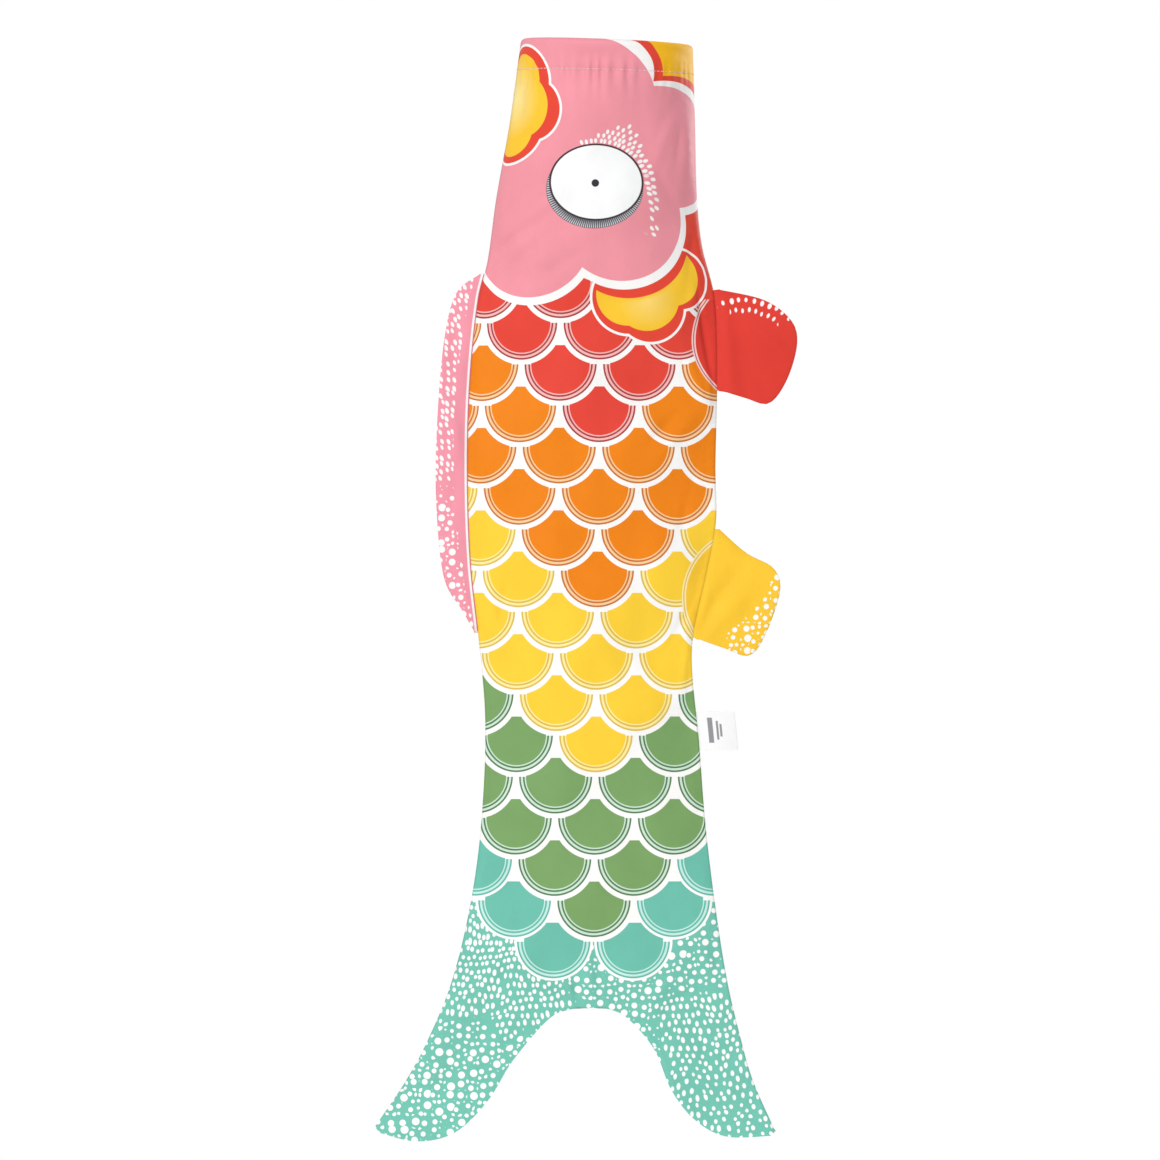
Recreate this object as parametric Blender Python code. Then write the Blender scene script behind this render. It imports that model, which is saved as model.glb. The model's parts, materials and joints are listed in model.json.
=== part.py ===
"""A carp streamer: a printed cloth fish that hangs by a hooped mouth, with two side panels and doubled fins.

The mouth is up, the back of the fish is towards -X and its belly towards +X. The side nearest -Y is the fish's
right flank. The origin is the middle of the mouth rim.
"""

import math

import bmesh
import bpy

# Driving dimensions, in metres.
LENGTH = 0.700  # mouth rim to the tips of the tail
WIDTH = 0.158  # across the body at its widest
MOUTH_DEPTH = 0.090  # across the open mouth, flank to flank
CLOTH = 0.0011  # wall of a side panel
SEAM_GAP = 0.0003  # between two pieces sewn together
HOOP_RADIUS = 0.0013
FIN_HALF = 0.00105  # half the thickness of a doubled fin
LABEL_HALF = 0.00075  # half the thickness of the folded label

# The outlines are drawn in millimetres on a streamer 700 long and 158 wide. These turn them into metres.
DOWN = LENGTH / 700
ACROSS = WIDTH / 158
MM = 0.001

# Heights of the bend lines, and how far the cloth bends at each, to either side.
NECK = -144 * DOWN
WAIST = -382 * DOWN
TAIL_BEND = -545 * DOWN
FORK = -612 * DOWN
NECK_BEND = math.radians(20)
WAIST_BEND = math.radians(30)
TAIL_ROOT_BEND = math.radians(35)
LOBE_BEND = math.radians(40)
BEND_GAP = 0.6 * MM  # between two links at a bend line

# The hem round the mouth.
HEM_HEIGHT = 19 * DOWN
HEM_WALL = 1.0 * MM
SLEEVE_WALL = 0.4 * MM
SLEEVE_LENGTH = 20 * MM
SLEEVE_BORE = HOOP_RADIUS + SEAM_GAP
SLEEVE_RADIUS = SLEEVE_BORE + SLEEVE_WALL
CHANNEL = 2 * (SLEEVE_RADIUS + SEAM_GAP)
HOOP_INSET = HEM_WALL + CHANNEL / 2
HOOP_HEIGHT = -HEM_WALL - CHANNEL / 2
HOOP_END_GAP = 1.0 * MM
THREAD_RADIUS = 0.35 * MM
FOOT_GAP = 0.6 * MM  # between the two layers of the hem at its foot
MOUTH_SLOPE = 0.040  # the rim drops this much towards the belly, per unit across
SLOPE_FADE = 60 * DOWN  # the slope dies out over this height
EDGE_HALF = 0.95 * MM  # half the thickness of the body at a side seam
FORK_X = -9 * ACROSS
LOBE_GAP = 0.3 * MM  # each lobe stands this far from the middle of the fork
TAIL_DEPTH = 4.5 * ACROSS  # half the depth of the tail at the fork
TIP_DEPTH = 2.0 * ACROSS  # and at its tips

# The seams down the back and belly: height, then distance across.
BACK_SEAM = (
    (0, -54.6), (-50, -61.7), (-100, -70.6), (-139, -76.0), (-164, -82.0), (-215, -87.2), (-270, -88.8),
    (-330, -87.0), (-379, -81.8), (-432, -77.5), (-495, -79.9), (-546, -86.5), (-597, -98.6), (-635, -114.0),
    (-661, -128.0), (-690, -147.5),
)
BELLY_SEAM = (
    (0, 54.6), (-50, 56.0), (-100, 57.3), (-130, 60.5), (-160, 68.0), (-190, 70.0), (-228, 70.0), (-270, 69.0),
    (-306, 69.3), (-342, 62.6), (-378, 54.9), (-400, 54.2), (-444, 58.5), (-495, 62.4), (-546, 68.4),
    (-597, 76.4), (-635, 85.3), (-661, 92.9), (-693, 107.0),
)
# Half the depth of the body, flank to flank: height, then depth.
HALF_DEPTH = (
    (0, 45.0), (-60, 39.3), (-100, 33.0), (-155, 22.5), (-200, 17.0), (-260, 14.0), (-380, 10.5), (-515, 7.8),
    (-612, 4.5),
)
# The free edges of the two tail lobes, from the fork to the tip: across, then height.
UPPER_LOBE_EDGE = (
    (-9, -615), (-37.5, -622), (-59.8, -648), (-76, -674), (-97, -694), (-121, -699.6), (-145, -694),
)
LOWER_LOBE_EDGE = (
    (-9, -615), (12.7, -622), (30, -641), (41, -667), (56, -686), (76, -696.5), (104.5, -696),
)
# The outer edges of the fins, from the top of the root to its foot: across, then height.
DORSAL_EDGE = (
    (-80.5, -147.5), (-96, -160), (-103.7, -190), (-108, -241), (-108.8, -291), (-104, -340), (-92, -362),
    (-84, -376),
)
PECTORAL_EDGE = (
    (71, -157.5), (99.9, -164.2), (117, -177), (121, -192), (114.5, -215), (103, -230), (88, -226.6),
    (73, -222),
)
VENTRAL_EDGE = (
    (71.5, -310), (88.5, -325), (106, -335), (110, -350), (100, -379), (90, -390.6), (75, -386), (57.5, -379.8),
)
DORSAL_ROOT = (-147.5, -376)
PECTORAL_ROOT = (-158, -222)
VENTRAL_ROOT = (-310, -379)
LABEL_ROOT = (-426, -450.6)
LABEL_REACH = 24.5 * ACROSS

TEAL = (0.15, 0.55, 0.43)

# How finely the round shapes are cut.
PANEL_COLUMNS = 16
RING_STEPS = 40
LOBE_COLUMNS = 6
LOBE_ROWS = 12
ROD_SIDES = 8
THREAD_SIDES = 6
SLEEVE_STEPS = 6
CURVE_STEPS = 24  # between two corners of an outline
ROOT_TURNS = (math.radians(25), math.radians(55), math.radians(90))  # the corners of a rounded fin root
FIN_STRIPS = 3  # from the rounded root to the outer edge


def clear_scene():
    for obj in list(bpy.data.objects):
        bpy.data.objects.remove(obj)


def mix(start, end, share):
    return start + (end - start) * share


def smooth(share):
    share = min(max(share, 0), 1)
    return share * share * (3 - 2 * share)


def slope_at(points, index):
    """The slope of a smooth curve at one of the points it goes through."""
    before = points[max(index - 1, 0)]
    after = points[min(index + 1, len(points) - 1)]
    return (after[1] - before[1]) / (after[0] - before[0])


def read_curve(points, at):
    """The second value of a smooth curve through these points, whose first values only fall."""
    index = 0
    while index < len(points) - 2 and at < points[index + 1][0]:
        index += 1
    (start, value), (end, next_value) = points[index : index + 2]
    run = end - start
    share = (at - start) / run
    lift = share * share * (3 - 2 * share)
    leave = share * (1 - share) * (1 - share) * run * slope_at(points, index)
    arrive = share * share * (share - 1) * run * slope_at(points, index + 1)
    return mix(value, next_value, lift) + leave + arrive


def seam_x(seam, height):
    return read_curve(seam, height / DOWN) * ACROSS


def half_depth(height):
    depth = read_curve(HALF_DEPTH, height / DOWN) * ACROSS
    return depth * mix(1, MOUTH_DEPTH / (90 * ACROSS), smooth(1 - height / NECK))


def sampled(points, count):
    """Points evenly spaced along a smooth curve through an outline's corners, in metres."""
    corners = [(x * ACROSS, z * DOWN) for x, z in points]
    path = []
    for index in range(len(corners) - 1):
        p0 = corners[max(index - 1, 0)]
        p1 = corners[index]
        p2 = corners[index + 1]
        p3 = corners[min(index + 2, len(corners) - 1)]
        for step in range(CURVE_STEPS):
            path.append(spline_point(p0, p1, p2, p3, step / CURVE_STEPS))
    path.append(corners[-1])
    return evenly(path, count)


def spline_point(p0, p1, p2, p3, share):
    """A point between p1 and p2 on the smooth curve through all four."""
    point = []
    for a, b, c, d in zip(p0, p1, p2, p3):
        cubic = (3 * b - a - 3 * c + d) * share
        square = (2 * a - 5 * b + 4 * c - d + cubic) * share
        point.append(b + 0.5 * (c - a + square) * share)
    return tuple(point)


def evenly(path, count):
    """This many points at equal distances along a path of straight runs."""
    runs = [0]
    for (x0, z0), (x1, z1) in zip(path, path[1:]):
        runs.append(runs[-1] + math.hypot(x1 - x0, z1 - z0))
    found = []
    index = 0
    for step in range(count):
        wanted = runs[-1] * step / (count - 1)
        while index < len(path) - 2 and runs[index + 1] < wanted:
            index += 1
        share = (wanted - runs[index]) / (runs[index + 1] - runs[index])
        start = path[index]
        end = path[index + 1]
        found.append((mix(start[0], end[0], share), mix(start[1], end[1], share)))
    return found


def seam_path(seam, top, bottom, count):
    """Evenly spaced points along a seam between two heights."""
    heights = [mix(top, bottom, step / CURVE_STEPS) for step in range(CURVE_STEPS + 1)]
    return evenly([(seam_x(seam, height), height) for height in heights], count)


def mouth_tilt(point):
    """Drops the rim towards the belly, less and less further down the head."""
    x, y, z = point
    return x, y, z - MOUTH_SLOPE * x * min(max(1 + z / SLOPE_FADE, 0), 1)


def material(name, colour, roughness):
    made = bpy.data.materials.new(name)
    made.use_nodes = True
    shader = made.node_tree.nodes["Principled BSDF"]
    shader.inputs["Base Color"].default_value = (*colour, 1)
    shader.inputs["Roughness"].default_value = roughness
    shader.inputs["Metallic"].default_value = 0
    return made


def add_object(name, faces, origin, colour, roughness):
    """One closed mesh from a list of faces given by their corner points."""
    build = bmesh.new()
    known = {}
    for corners in faces:
        face = []
        for corner in corners:
            key = tuple(round(value * 1e7) for value in corner)
            if key not in known:
                known[key] = build.verts.new([value - base for value, base in zip(corner, origin)])
            face.append(known[key])
        build.faces.new(face)
    bmesh.ops.recalc_face_normals(build, faces=build.faces)
    mesh = bpy.data.meshes.new(name)
    build.to_mesh(mesh)
    build.free()
    mesh.materials.append(material(name, colour, roughness))
    obj = bpy.data.objects.new(name, mesh)
    obj.location = origin
    bpy.context.scene.collection.objects.link(obj)
    for polygon in mesh.polygons:
        polygon.use_smooth = True
    return obj


def grid_faces(rows, wrap_rows, wrap_columns):
    faces = []
    row_count = len(rows)
    column_count = len(rows[0])
    for i in range(row_count if wrap_rows else row_count - 1):
        for j in range(column_count if wrap_columns else column_count - 1):
            here = rows[i]
            below = rows[(i + 1) % row_count]
            side = (j + 1) % column_count
            faces.append((here[j], here[side], below[side], below[j]))
    return faces


def shell_faces(outer, inner, wrap_rows=False, wrap_columns=False):
    """The faces of a wall between two grids of points, with the edges between them closed."""
    faces = grid_faces(outer, wrap_rows, wrap_columns) + grid_faces(inner, wrap_rows, wrap_columns)
    if not wrap_rows:
        faces += grid_faces([outer[0], inner[0]], False, wrap_columns)
        faces += grid_faces([outer[-1], inner[-1]], False, wrap_columns)
    if not wrap_columns:
        faces += grid_faces([[row[0] for row in outer], [row[0] for row in inner]], False, wrap_rows)
        faces += grid_faces([[row[-1] for row in outer], [row[-1] for row in inner]], False, wrap_rows)
    return faces


def fullness(height):
    """1 where the body is an oval tube and 2 where its flanks meet at a sharp edge."""
    return 1 + smooth((-height - 60 * DOWN) / (170 * DOWN))


def panel_row(height, side, inset):
    """Points across one flank at this height, from the belly seam to the back seam."""
    belly = seam_x(BELLY_SEAM, height) - inset
    back = seam_x(BACK_SEAM, height) + inset
    middle = (belly + back) / 2
    reach = (belly - back) / 2
    depth = half_depth(height) - inset
    edge = SEAM_GAP / 2 if inset else EDGE_HALF
    first = 0 if inset else 1
    arcs = PANEL_COLUMNS - 2 * first
    row = []
    for step in range(arcs + 1):
        angle = math.pi * step / arcs
        bulge = max(math.sin(angle), 0) ** fullness(height)
        row.append((middle + reach * math.cos(angle), side * mix(edge, depth, bulge)))
    if not inset:
        row = [(belly, side * SEAM_GAP / 2)] + row + [(back, side * SEAM_GAP / 2)]
    return row


def panel(name, side, top, bottom, top_bend, bottom_bend, rows, origin, colour):
    """One flank of one link. Its ends are cut back so that it can swing by half the bend on each side."""
    grids = []
    for inset in (0, CLOTH):
        grid = []
        for step in range(rows + 1):
            share = step / rows
            row = []
            for x, y in panel_row(mix(top, bottom, share), side, inset):
                upper = top - abs(y) * math.tan(top_bend / 2)
                lower = bottom + abs(y) * math.tan(bottom_bend / 2)
                row.append(mouth_tilt((x, y, mix(upper, lower, share))))
            grid.append(row)
        grids.append(grid)
    return add_object(name, shell_faces(*grids), origin, colour, 0.8)


def ring_point(angle, inset, height):
    """A point this far in from the outer face of the head, on the oval at this height."""
    belly = seam_x(BELLY_SEAM, height)
    back = seam_x(BACK_SEAM, height)
    reach = (belly - back) / 2
    depth = half_depth(height)
    x = math.cos(angle)
    y = math.sin(angle)
    normal = math.hypot(depth * x, reach * y)
    return (
        (belly + back) / 2 + reach * x - inset * depth * x / normal,
        depth * y - inset * reach * y / normal,
        height,
    )


def hem_casing():
    """The rim cloth folded inwards over the hoop and down to the stitching."""
    foot = -HEM_HEIGHT + SEAM_GAP
    inside = HEM_WALL + CHANNEL
    knee = HOOP_HEIGHT - CHANNEL / 2
    second = HEM_WALL + FOOT_GAP
    outer_section = (
        (0, foot), (0, 0), (inside + HEM_WALL, 0), (inside + HEM_WALL, knee), (second + HEM_WALL, foot),
    )
    inner_section = (
        (HEM_WALL, foot), (HEM_WALL, -HEM_WALL), (inside, -HEM_WALL), (inside, knee), (second, foot),
    )
    grids = []
    for section in (outer_section, inner_section):
        grid = []
        for step in range(RING_STEPS):
            angle = 2 * math.pi * step / RING_STEPS
            grid.append([mouth_tilt(ring_point(angle, inset, height)) for inset, height in section])
        grids.append(grid)
    faces = shell_faces(*grids, wrap_rows=True)
    return add_object("hem_casing", faces, (0, 0, 0), (0.92, 0.40, 0.45), 0.8)


def circle_on_ring(angle, radius, inset, height, sides):
    """A circle of points round the ring's path, square to it."""
    loop = []
    for step in range(sides):
        turn = 2 * math.pi * step / sides
        across = inset + radius * math.cos(turn)
        x, y, _ = ring_point(angle, across, height)
        loop.append(mouth_tilt((x, y, height + radius * math.sin(turn))))
    return loop


def half_turn_of(length):
    """Half the angle that this length of hoop spans at the middle of the left flank."""
    return length / (seam_x(BELLY_SEAM, 0) - seam_x(BACK_SEAM, 0))


def mouth_hoop():
    """A springy rod bent into an oval, its two ends meeting inside the sleeve."""
    half = half_turn_of(HOOP_END_GAP)
    rings = []
    for step in range(RING_STEPS + 1):
        angle = math.pi / 2 + mix(half, 2 * math.pi - half, step / RING_STEPS)
        rings.append(circle_on_ring(angle, HOOP_RADIUS, HOOP_INSET, HOOP_HEIGHT, ROD_SIDES))
    faces = grid_faces(rings, False, True) + [rings[0], rings[-1]]
    return add_object("mouth_hoop", faces, (0, 0, 0), (0.75, 0.75, 0.72), 0.4)


def hoop_sleeve():
    """The short tube that joins the ends of the hoop."""
    half = half_turn_of(SLEEVE_LENGTH)
    angles = [math.pi / 2 + mix(-half, half, step / SLEEVE_STEPS) for step in range(SLEEVE_STEPS + 1)]
    outer = [circle_on_ring(angle, SLEEVE_RADIUS, HOOP_INSET, HOOP_HEIGHT, ROD_SIDES) for angle in angles]
    inner = [circle_on_ring(angle, SLEEVE_BORE, HOOP_INSET, HOOP_HEIGHT, ROD_SIDES) for angle in angles]
    faces = shell_faces(outer, inner, wrap_columns=True)
    return add_object("hoop_sleeve", faces, (0, 0, 0), (0.85, 0.87, 0.88), 0.25)


def hem_stitching():
    """One ring of thread in place of the row of stitches round the foot of the hem."""
    outset = -(SEAM_GAP + THREAD_RADIUS)
    rings = [
        circle_on_ring(2 * math.pi * step / RING_STEPS, THREAD_RADIUS, outset, -HEM_HEIGHT, THREAD_SIDES)
        for step in range(RING_STEPS)
    ]
    return add_object("hem_stitching", grid_faces(rings, True, True), (0, 0, 0), (0.95, 0.95, 0.93), 0.7)


def lobe_wall(seam, edge, side, inset):
    """A grid of points over one flank of a tail lobe, from its seam to its open edge."""
    direction = -1 if seam is BACK_SEAM else 1
    corner_x = FORK_X + direction * LOBE_GAP
    top = FORK - BEND_GAP / 2
    tip = seam[-1][0] * DOWN
    outer_path = seam_path(seam, top, tip, LOBE_ROWS + 1)
    free_path = [(corner_x, top)] + sampled(edge, LOBE_ROWS)
    free_path[1] = (corner_x, free_path[1][1])
    grid = []
    for step, ((seam_at, seam_z), (free_at, free_z)) in enumerate(zip(outer_path, free_path)):
        depth = mix(TAIL_DEPTH, TIP_DEPTH, smooth(2 * step / LOBE_ROWS)) - inset
        length = math.hypot(free_at - seam_at, free_z - seam_z)
        start = inset / length
        edge_half = SEAM_GAP / 2 if inset else EDGE_HALF
        first = 0 if inset else 1
        row = []
        for column in range(LOBE_COLUMNS + 1 - first):
            share = column / (LOBE_COLUMNS - first)
            along = mix(start, 1, share)
            y = side * mix(edge_half, depth, 1 - (1 - share) ** 2)
            drop = abs(y) * math.tan(LOBE_BEND / 2) if step == 0 else 0
            row.append((mix(seam_at, free_at, along), y, mix(seam_z, free_z, along) - drop))
        if not inset:
            drop = SEAM_GAP / 2 * math.tan(LOBE_BEND / 2) if step == 0 else 0
            row.insert(0, (seam_at, side * SEAM_GAP / 2, seam_z - drop))
        grid.append(row)
    return grid


def lobe_panel(name, seam, edge, side):
    faces = shell_faces(lobe_wall(seam, edge, side, 0), lobe_wall(seam, edge, side, CLOTH))
    return add_object(name, faces, (FORK_X, 0, FORK), TEAL, 0.8)


def root_points(seam, root, outward, count):
    """Points down the root of a fin, clear of the body's seam."""
    top, foot = root
    path = seam_path(seam, top * DOWN, foot * DOWN, count)
    return [(x + outward * SEAM_GAP, z) for x, z in path]


def hinge_line(seam, root, outward, half):
    """The two ends of the straight line a fin turns on: beside its root, clear of the seam all the way down."""
    path = root_points(seam, root, outward, CURVE_STEPS + 1)
    (x0, z0), (x1, z1) = path[0], path[-1]
    length = math.hypot(x1 - x0, z1 - z0)
    # The unit vector square to the root, pointing away from the body.
    away = (outward * (z0 - z1) / length, outward * (x1 - x0) / length)
    bulge = max((x - x0) * away[0] + (z - z0) * away[1] for x, z in path)
    reach = bulge + half
    return (x0 + away[0] * reach, z0 + away[1] * reach), (x1 + away[0] * reach, z1 + away[1] * reach)


def hinge_middle(seam, root, outward, half):
    (x0, z0), (x1, z1) = hinge_line(seam, root, outward, half)
    return (x0 + x1) / 2, 0, (z0 + z1) / 2


def fin_layer(name, seam, root, edge, outward, side, rows, colour):
    """One of the two layers of a fin. Its root is rounded so that it can turn beside the seam."""
    rounding = [(FIN_HALF * (1 - math.cos(turn)), FIN_HALF * math.sin(turn)) for turn in ROOT_TURNS]
    roots = root_points(seam, root, outward, rows + 1)
    edges = sampled(edge, rows + 1)
    outer = []
    inner = []
    for (root_x, root_z), (edge_x, edge_z) in zip(roots, edges):
        length = math.hypot(edge_x - root_x, edge_z - root_z)
        reaches = [reach for reach, _ in rounding]
        reaches += [mix(FIN_HALF, length, (strip + 1) / FIN_STRIPS) for strip in range(FIN_STRIPS)]
        depths = [depth for _, depth in rounding] + [FIN_HALF] * FIN_STRIPS
        shares = [reach / length for reach in reaches]
        outer.append([
            (mix(root_x, edge_x, share), side * depth, mix(root_z, edge_z, share))
            for share, depth in zip(shares, depths)
        ])
        shares[0] = 0
        inner.append([
            (mix(root_x, edge_x, share), side * SEAM_GAP / 2, mix(root_z, edge_z, share)) for share in shares
        ])
    origin = hinge_middle(seam, root, outward, FIN_HALF)
    return add_object(name, shell_faces(outer, inner), origin, colour, 0.8)


def label():
    """A ribbon folded in two, with both ends caught in the belly seam."""
    half = LABEL_HALF
    gap = SEAM_GAP / 2
    wall = half - gap
    outer_section = [(0.1 * half, 0.55 * half), (0.5 * half, half), (LABEL_REACH - half, half)]
    inner_section = [(0, gap), (0.5 * half, gap), (LABEL_REACH - half, gap)]
    for turn in (math.pi / 4, 0):
        outer_section.append((LABEL_REACH - half * (1 - math.cos(turn)), half * math.sin(turn)))
        inner_section.append((LABEL_REACH - half + (half - wall) * math.cos(turn), gap * math.sin(turn)))
    outer_section += [(reach, -y) for reach, y in outer_section[-2::-1]]
    inner_section += [(reach, -y) for reach, y in inner_section[-2::-1]]
    roots = root_points(BELLY_SEAM, LABEL_ROOT, 1, 3)
    outer = [[(x + reach, y, z) for reach, y in outer_section] for x, z in roots]
    inner = [[(x + reach, y, z) for reach, y in inner_section] for x, z in roots]
    origin = hinge_middle(BELLY_SEAM, LABEL_ROOT, 1, LABEL_HALF)
    return add_object("label", shell_faces(outer, inner), origin, (0.9, 0.9, 0.88), 0.75)


def flank_panels(side, flank):
    """The four links of one flank, from the hem to the fork."""
    half_gap = BEND_GAP / 2
    hem_foot = -HEM_HEIGHT - SEAM_GAP
    pink = (0.90, 0.38, 0.43)
    orange = (0.88, 0.25, 0.03)
    green = (0.30, 0.42, 0.10)
    links = (
        ("head", hem_foot, NECK + half_gap, 0, NECK_BEND, 9, 0, pink),
        ("trunk", NECK - half_gap, WAIST + half_gap, NECK_BEND, WAIST_BEND, 12, NECK, orange),
        ("rear", WAIST - half_gap, TAIL_BEND + half_gap, WAIST_BEND, TAIL_ROOT_BEND, 9, WAIST, green),
        ("tail_root", TAIL_BEND - half_gap, FORK + half_gap, TAIL_ROOT_BEND, LOBE_BEND, 5, TAIL_BEND, TEAL),
    )
    for name, top, bottom, top_bend, bottom_bend, rows, hinge, colour in links:
        panel(f"{name}_{flank}", side, top, bottom, top_bend, bottom_bend, rows, (0, 0, hinge), colour)
    lobe_panel(f"upper_lobe_{flank}", BACK_SEAM, UPPER_LOBE_EDGE, side)
    lobe_panel(f"lower_lobe_{flank}", BELLY_SEAM, LOWER_LOBE_EDGE, side)


def fin_layers(side, flank):
    pink = (0.90, 0.36, 0.43)
    red = (0.75, 0.06, 0.04)
    yellow = (0.97, 0.58, 0.04)
    fin_layer(f"dorsal_fin_{flank}", BACK_SEAM, DORSAL_ROOT, DORSAL_EDGE, -1, side, 12, pink)
    fin_layer(f"pectoral_fin_{flank}", BELLY_SEAM, PECTORAL_ROOT, PECTORAL_EDGE, 1, side, 14, red)
    fin_layer(f"ventral_fin_{flank}", BELLY_SEAM, VENTRAL_ROOT, VENTRAL_EDGE, 1, side, 14, yellow)


def build():
    clear_scene()
    mouth_hoop()
    hoop_sleeve()
    hem_casing()
    hem_stitching()
    for side, flank in ((-1, "right"), (1, "left")):
        flank_panels(side, flank)
        fin_layers(side, flank)
    label()


build()
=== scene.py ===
"""The looks of the carp streamer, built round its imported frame: printed cloth, hem, stitches, fins and label.

Shapes are drawn in millimetres on a streamer 700 long and 158 wide, with the mouth up and the back towards
-X. The frame's own bend lines say how large this one is. Every print is painted in the flat cloth's own
coordinates, which each mesh carries as its "flat" attribute: across, distance from the nearest seam or root,
and height.
"""

import json
import math

import bpy
import numpy as np
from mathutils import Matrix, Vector


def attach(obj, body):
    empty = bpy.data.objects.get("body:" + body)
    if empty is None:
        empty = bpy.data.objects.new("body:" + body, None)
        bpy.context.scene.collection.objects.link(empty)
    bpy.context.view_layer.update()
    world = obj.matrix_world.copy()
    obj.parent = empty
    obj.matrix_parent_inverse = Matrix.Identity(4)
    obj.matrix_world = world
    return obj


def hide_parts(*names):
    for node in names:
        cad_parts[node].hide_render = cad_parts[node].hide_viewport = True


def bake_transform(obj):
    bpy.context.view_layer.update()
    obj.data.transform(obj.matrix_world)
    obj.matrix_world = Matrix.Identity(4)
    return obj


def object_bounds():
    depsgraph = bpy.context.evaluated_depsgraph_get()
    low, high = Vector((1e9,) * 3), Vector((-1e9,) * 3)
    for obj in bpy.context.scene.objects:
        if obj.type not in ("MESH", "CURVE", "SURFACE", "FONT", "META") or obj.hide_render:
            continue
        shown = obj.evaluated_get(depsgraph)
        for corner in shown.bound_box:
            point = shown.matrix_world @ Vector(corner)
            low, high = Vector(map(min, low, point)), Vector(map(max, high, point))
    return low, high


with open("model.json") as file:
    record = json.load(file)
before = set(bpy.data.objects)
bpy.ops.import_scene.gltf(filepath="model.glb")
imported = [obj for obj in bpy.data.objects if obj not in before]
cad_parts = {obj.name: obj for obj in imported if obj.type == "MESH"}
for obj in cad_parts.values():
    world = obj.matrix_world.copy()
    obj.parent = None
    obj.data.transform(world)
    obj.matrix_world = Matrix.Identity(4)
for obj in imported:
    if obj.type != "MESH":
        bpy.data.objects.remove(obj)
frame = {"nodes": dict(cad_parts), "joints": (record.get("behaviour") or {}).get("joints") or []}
cad_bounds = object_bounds()
JOINTS = {joint["name"]: joint for joint in frame["joints"]}

# Metres to one drawn millimetre, from the height of the neck and from how far across the fork's middle lies.
NECK = -144
FORK_X = -9
FORK = -614.3
DOWN = JOINTS["neck_sway"]["pos_m"][2] / NECK
ACROSS = JOINTS["upper_lobe_sway"]["pos_m"][0] / FORK_X
SCALE = np.array((ACROSS, ACROSS, DOWN))

# The cloth.
WALL = 0.45  # thickness of one layer
SEAM_HALF = 0.05  # each panel stands this far from its neighbour where they are sewn
LIP = 0.7  # how far a sewn edge stands out from the seam
LIP_WIDTH = 1.6
HEM_HEIGHT = 19.3
HEM_ROLL = 3.3  # radius of the rim where the cloth turns over the hoop
OPEN_HEM = (5.0, 0.45)  # width and rise of the narrow hem along the tail's open edge
FIN_WALL = 0.4
FIN_TUCK = 0.6  # how deep a fin's root goes into the seam
LABEL_WALL = 0.3
LABEL_PLY = 0.42  # from the middle of the folded label to its outer face
HEM_INSIDE = ((5.4, -8), (3.0, -14.5), (1.5, -19), (1.4, -21.5))  # inset from the outer wall, and height
MOUTH_SLOPE = 0.040  # the rim drops towards the belly
SLOPE_FADE = 60

# The hem's stitches.
STITCH_PITCH = 3.1
STITCH_LENGTH = 2.5
THREAD = 0.27  # radius
STITCH_SIDES = 6
STITCH_STEPS = 7

# The side seams: height, then distance across.
BACK_SEAM = (
    (0, -54.6), (-50, -61.7), (-100, -70.6), (-139, -76.0), (-164, -82.0), (-215, -87.2), (-270, -88.8),
    (-330, -87.0), (-379, -81.8), (-432, -77.5), (-495, -79.9), (-546, -86.5), (-597, -98.6), (-635, -114.0),
    (-661, -128.0), (-690, -147.5),
)
BELLY_SEAM = (
    (0, 54.6), (-50, 56.0), (-100, 57.3), (-130, 60.5), (-160, 68.0), (-190, 70.0), (-228, 70.0),
    (-270, 69.0), (-306, 69.3), (-342, 62.6), (-378, 54.9), (-400, 54.2), (-444, 58.5), (-495, 62.4),
    (-546, 68.4), (-597, 76.4), (-635, 85.3), (-661, 92.9), (-693, 107.0),
)
# Half the depth of the body: height, then depth.
HALF_DEPTH = (
    (0, 45.0), (-60, 39.3), (-100, 33.0), (-155, 22.5), (-200, 17.0), (-260, 14.0), (-380, 10.5), (-515, 7.8),
    (-612, 4.5),
)
TIP_DEPTH = 2.0
TIP_RUN = 45  # how far below the fork the body thins to that
# The open edges of the tail lobes and the outer edges of the fins: across, then height.
UPPER_LOBE_EDGE = (
    (FORK_X, FORK), (-23.5, -615.6), (-37.5, -622), (-59.8, -648), (-76, -674), (-97, -694), (-121, -699.6),
    (-145, -694),
)
LOWER_LOBE_EDGE = (
    (FORK_X, FORK), (2.0, -615.6), (13.5, -621.5), (30, -641), (41, -667), (56, -686), (76, -696.5),
    (104.5, -696),
)
DORSAL_EDGE = (
    (-80.5, -147.5), (-96, -160), (-103.7, -190), (-108, -241), (-108.8, -291), (-104, -340), (-92, -362),
    (-84, -376),
)
PECTORAL_EDGE = (
    (71, -157.5), (99.9, -164.2), (117, -177), (121, -192), (114.5, -215), (103, -230), (88, -226.6),
    (73, -222),
)
VENTRAL_EDGE = (
    (71.5, -310), (88.5, -325), (106, -335), (110, -350), (100, -379), (90, -390.6), (75, -386),
    (57.5, -379.8),
)
DORSAL_ROOT = (-147.5, -376)
PECTORAL_ROOT = (-158, -222)
VENTRAL_ROOT = (-310, -379)
LABEL_ROOT = (-426, -450.6)
LABEL_REACH = 24.5

# Where the side panels are cut into pieces, each of which crosses one bend, and how far to either side of its
# joint a fin's bend would spread, which flap() works out but doesn't apply.
HEAD_CUT, TRUNK_CUT, REAR_CUT = -263, -463, -580
FIN_SPREAD = (1.0, 5.0)

# How finely the cloth is cut.
HALF_COLUMNS = 72
ROW_PITCH = 2.0
LOBE_ROWS = 56
CURVE_STEPS = 24
HEM_PITCH = 1.2
HEM_TURNS = 12
HEM_INSIDE_ROWS = 14
FIN_ROW_PITCH = 1.7
FIN_COLUMNS = 30
LABEL_ROWS = 24

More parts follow.
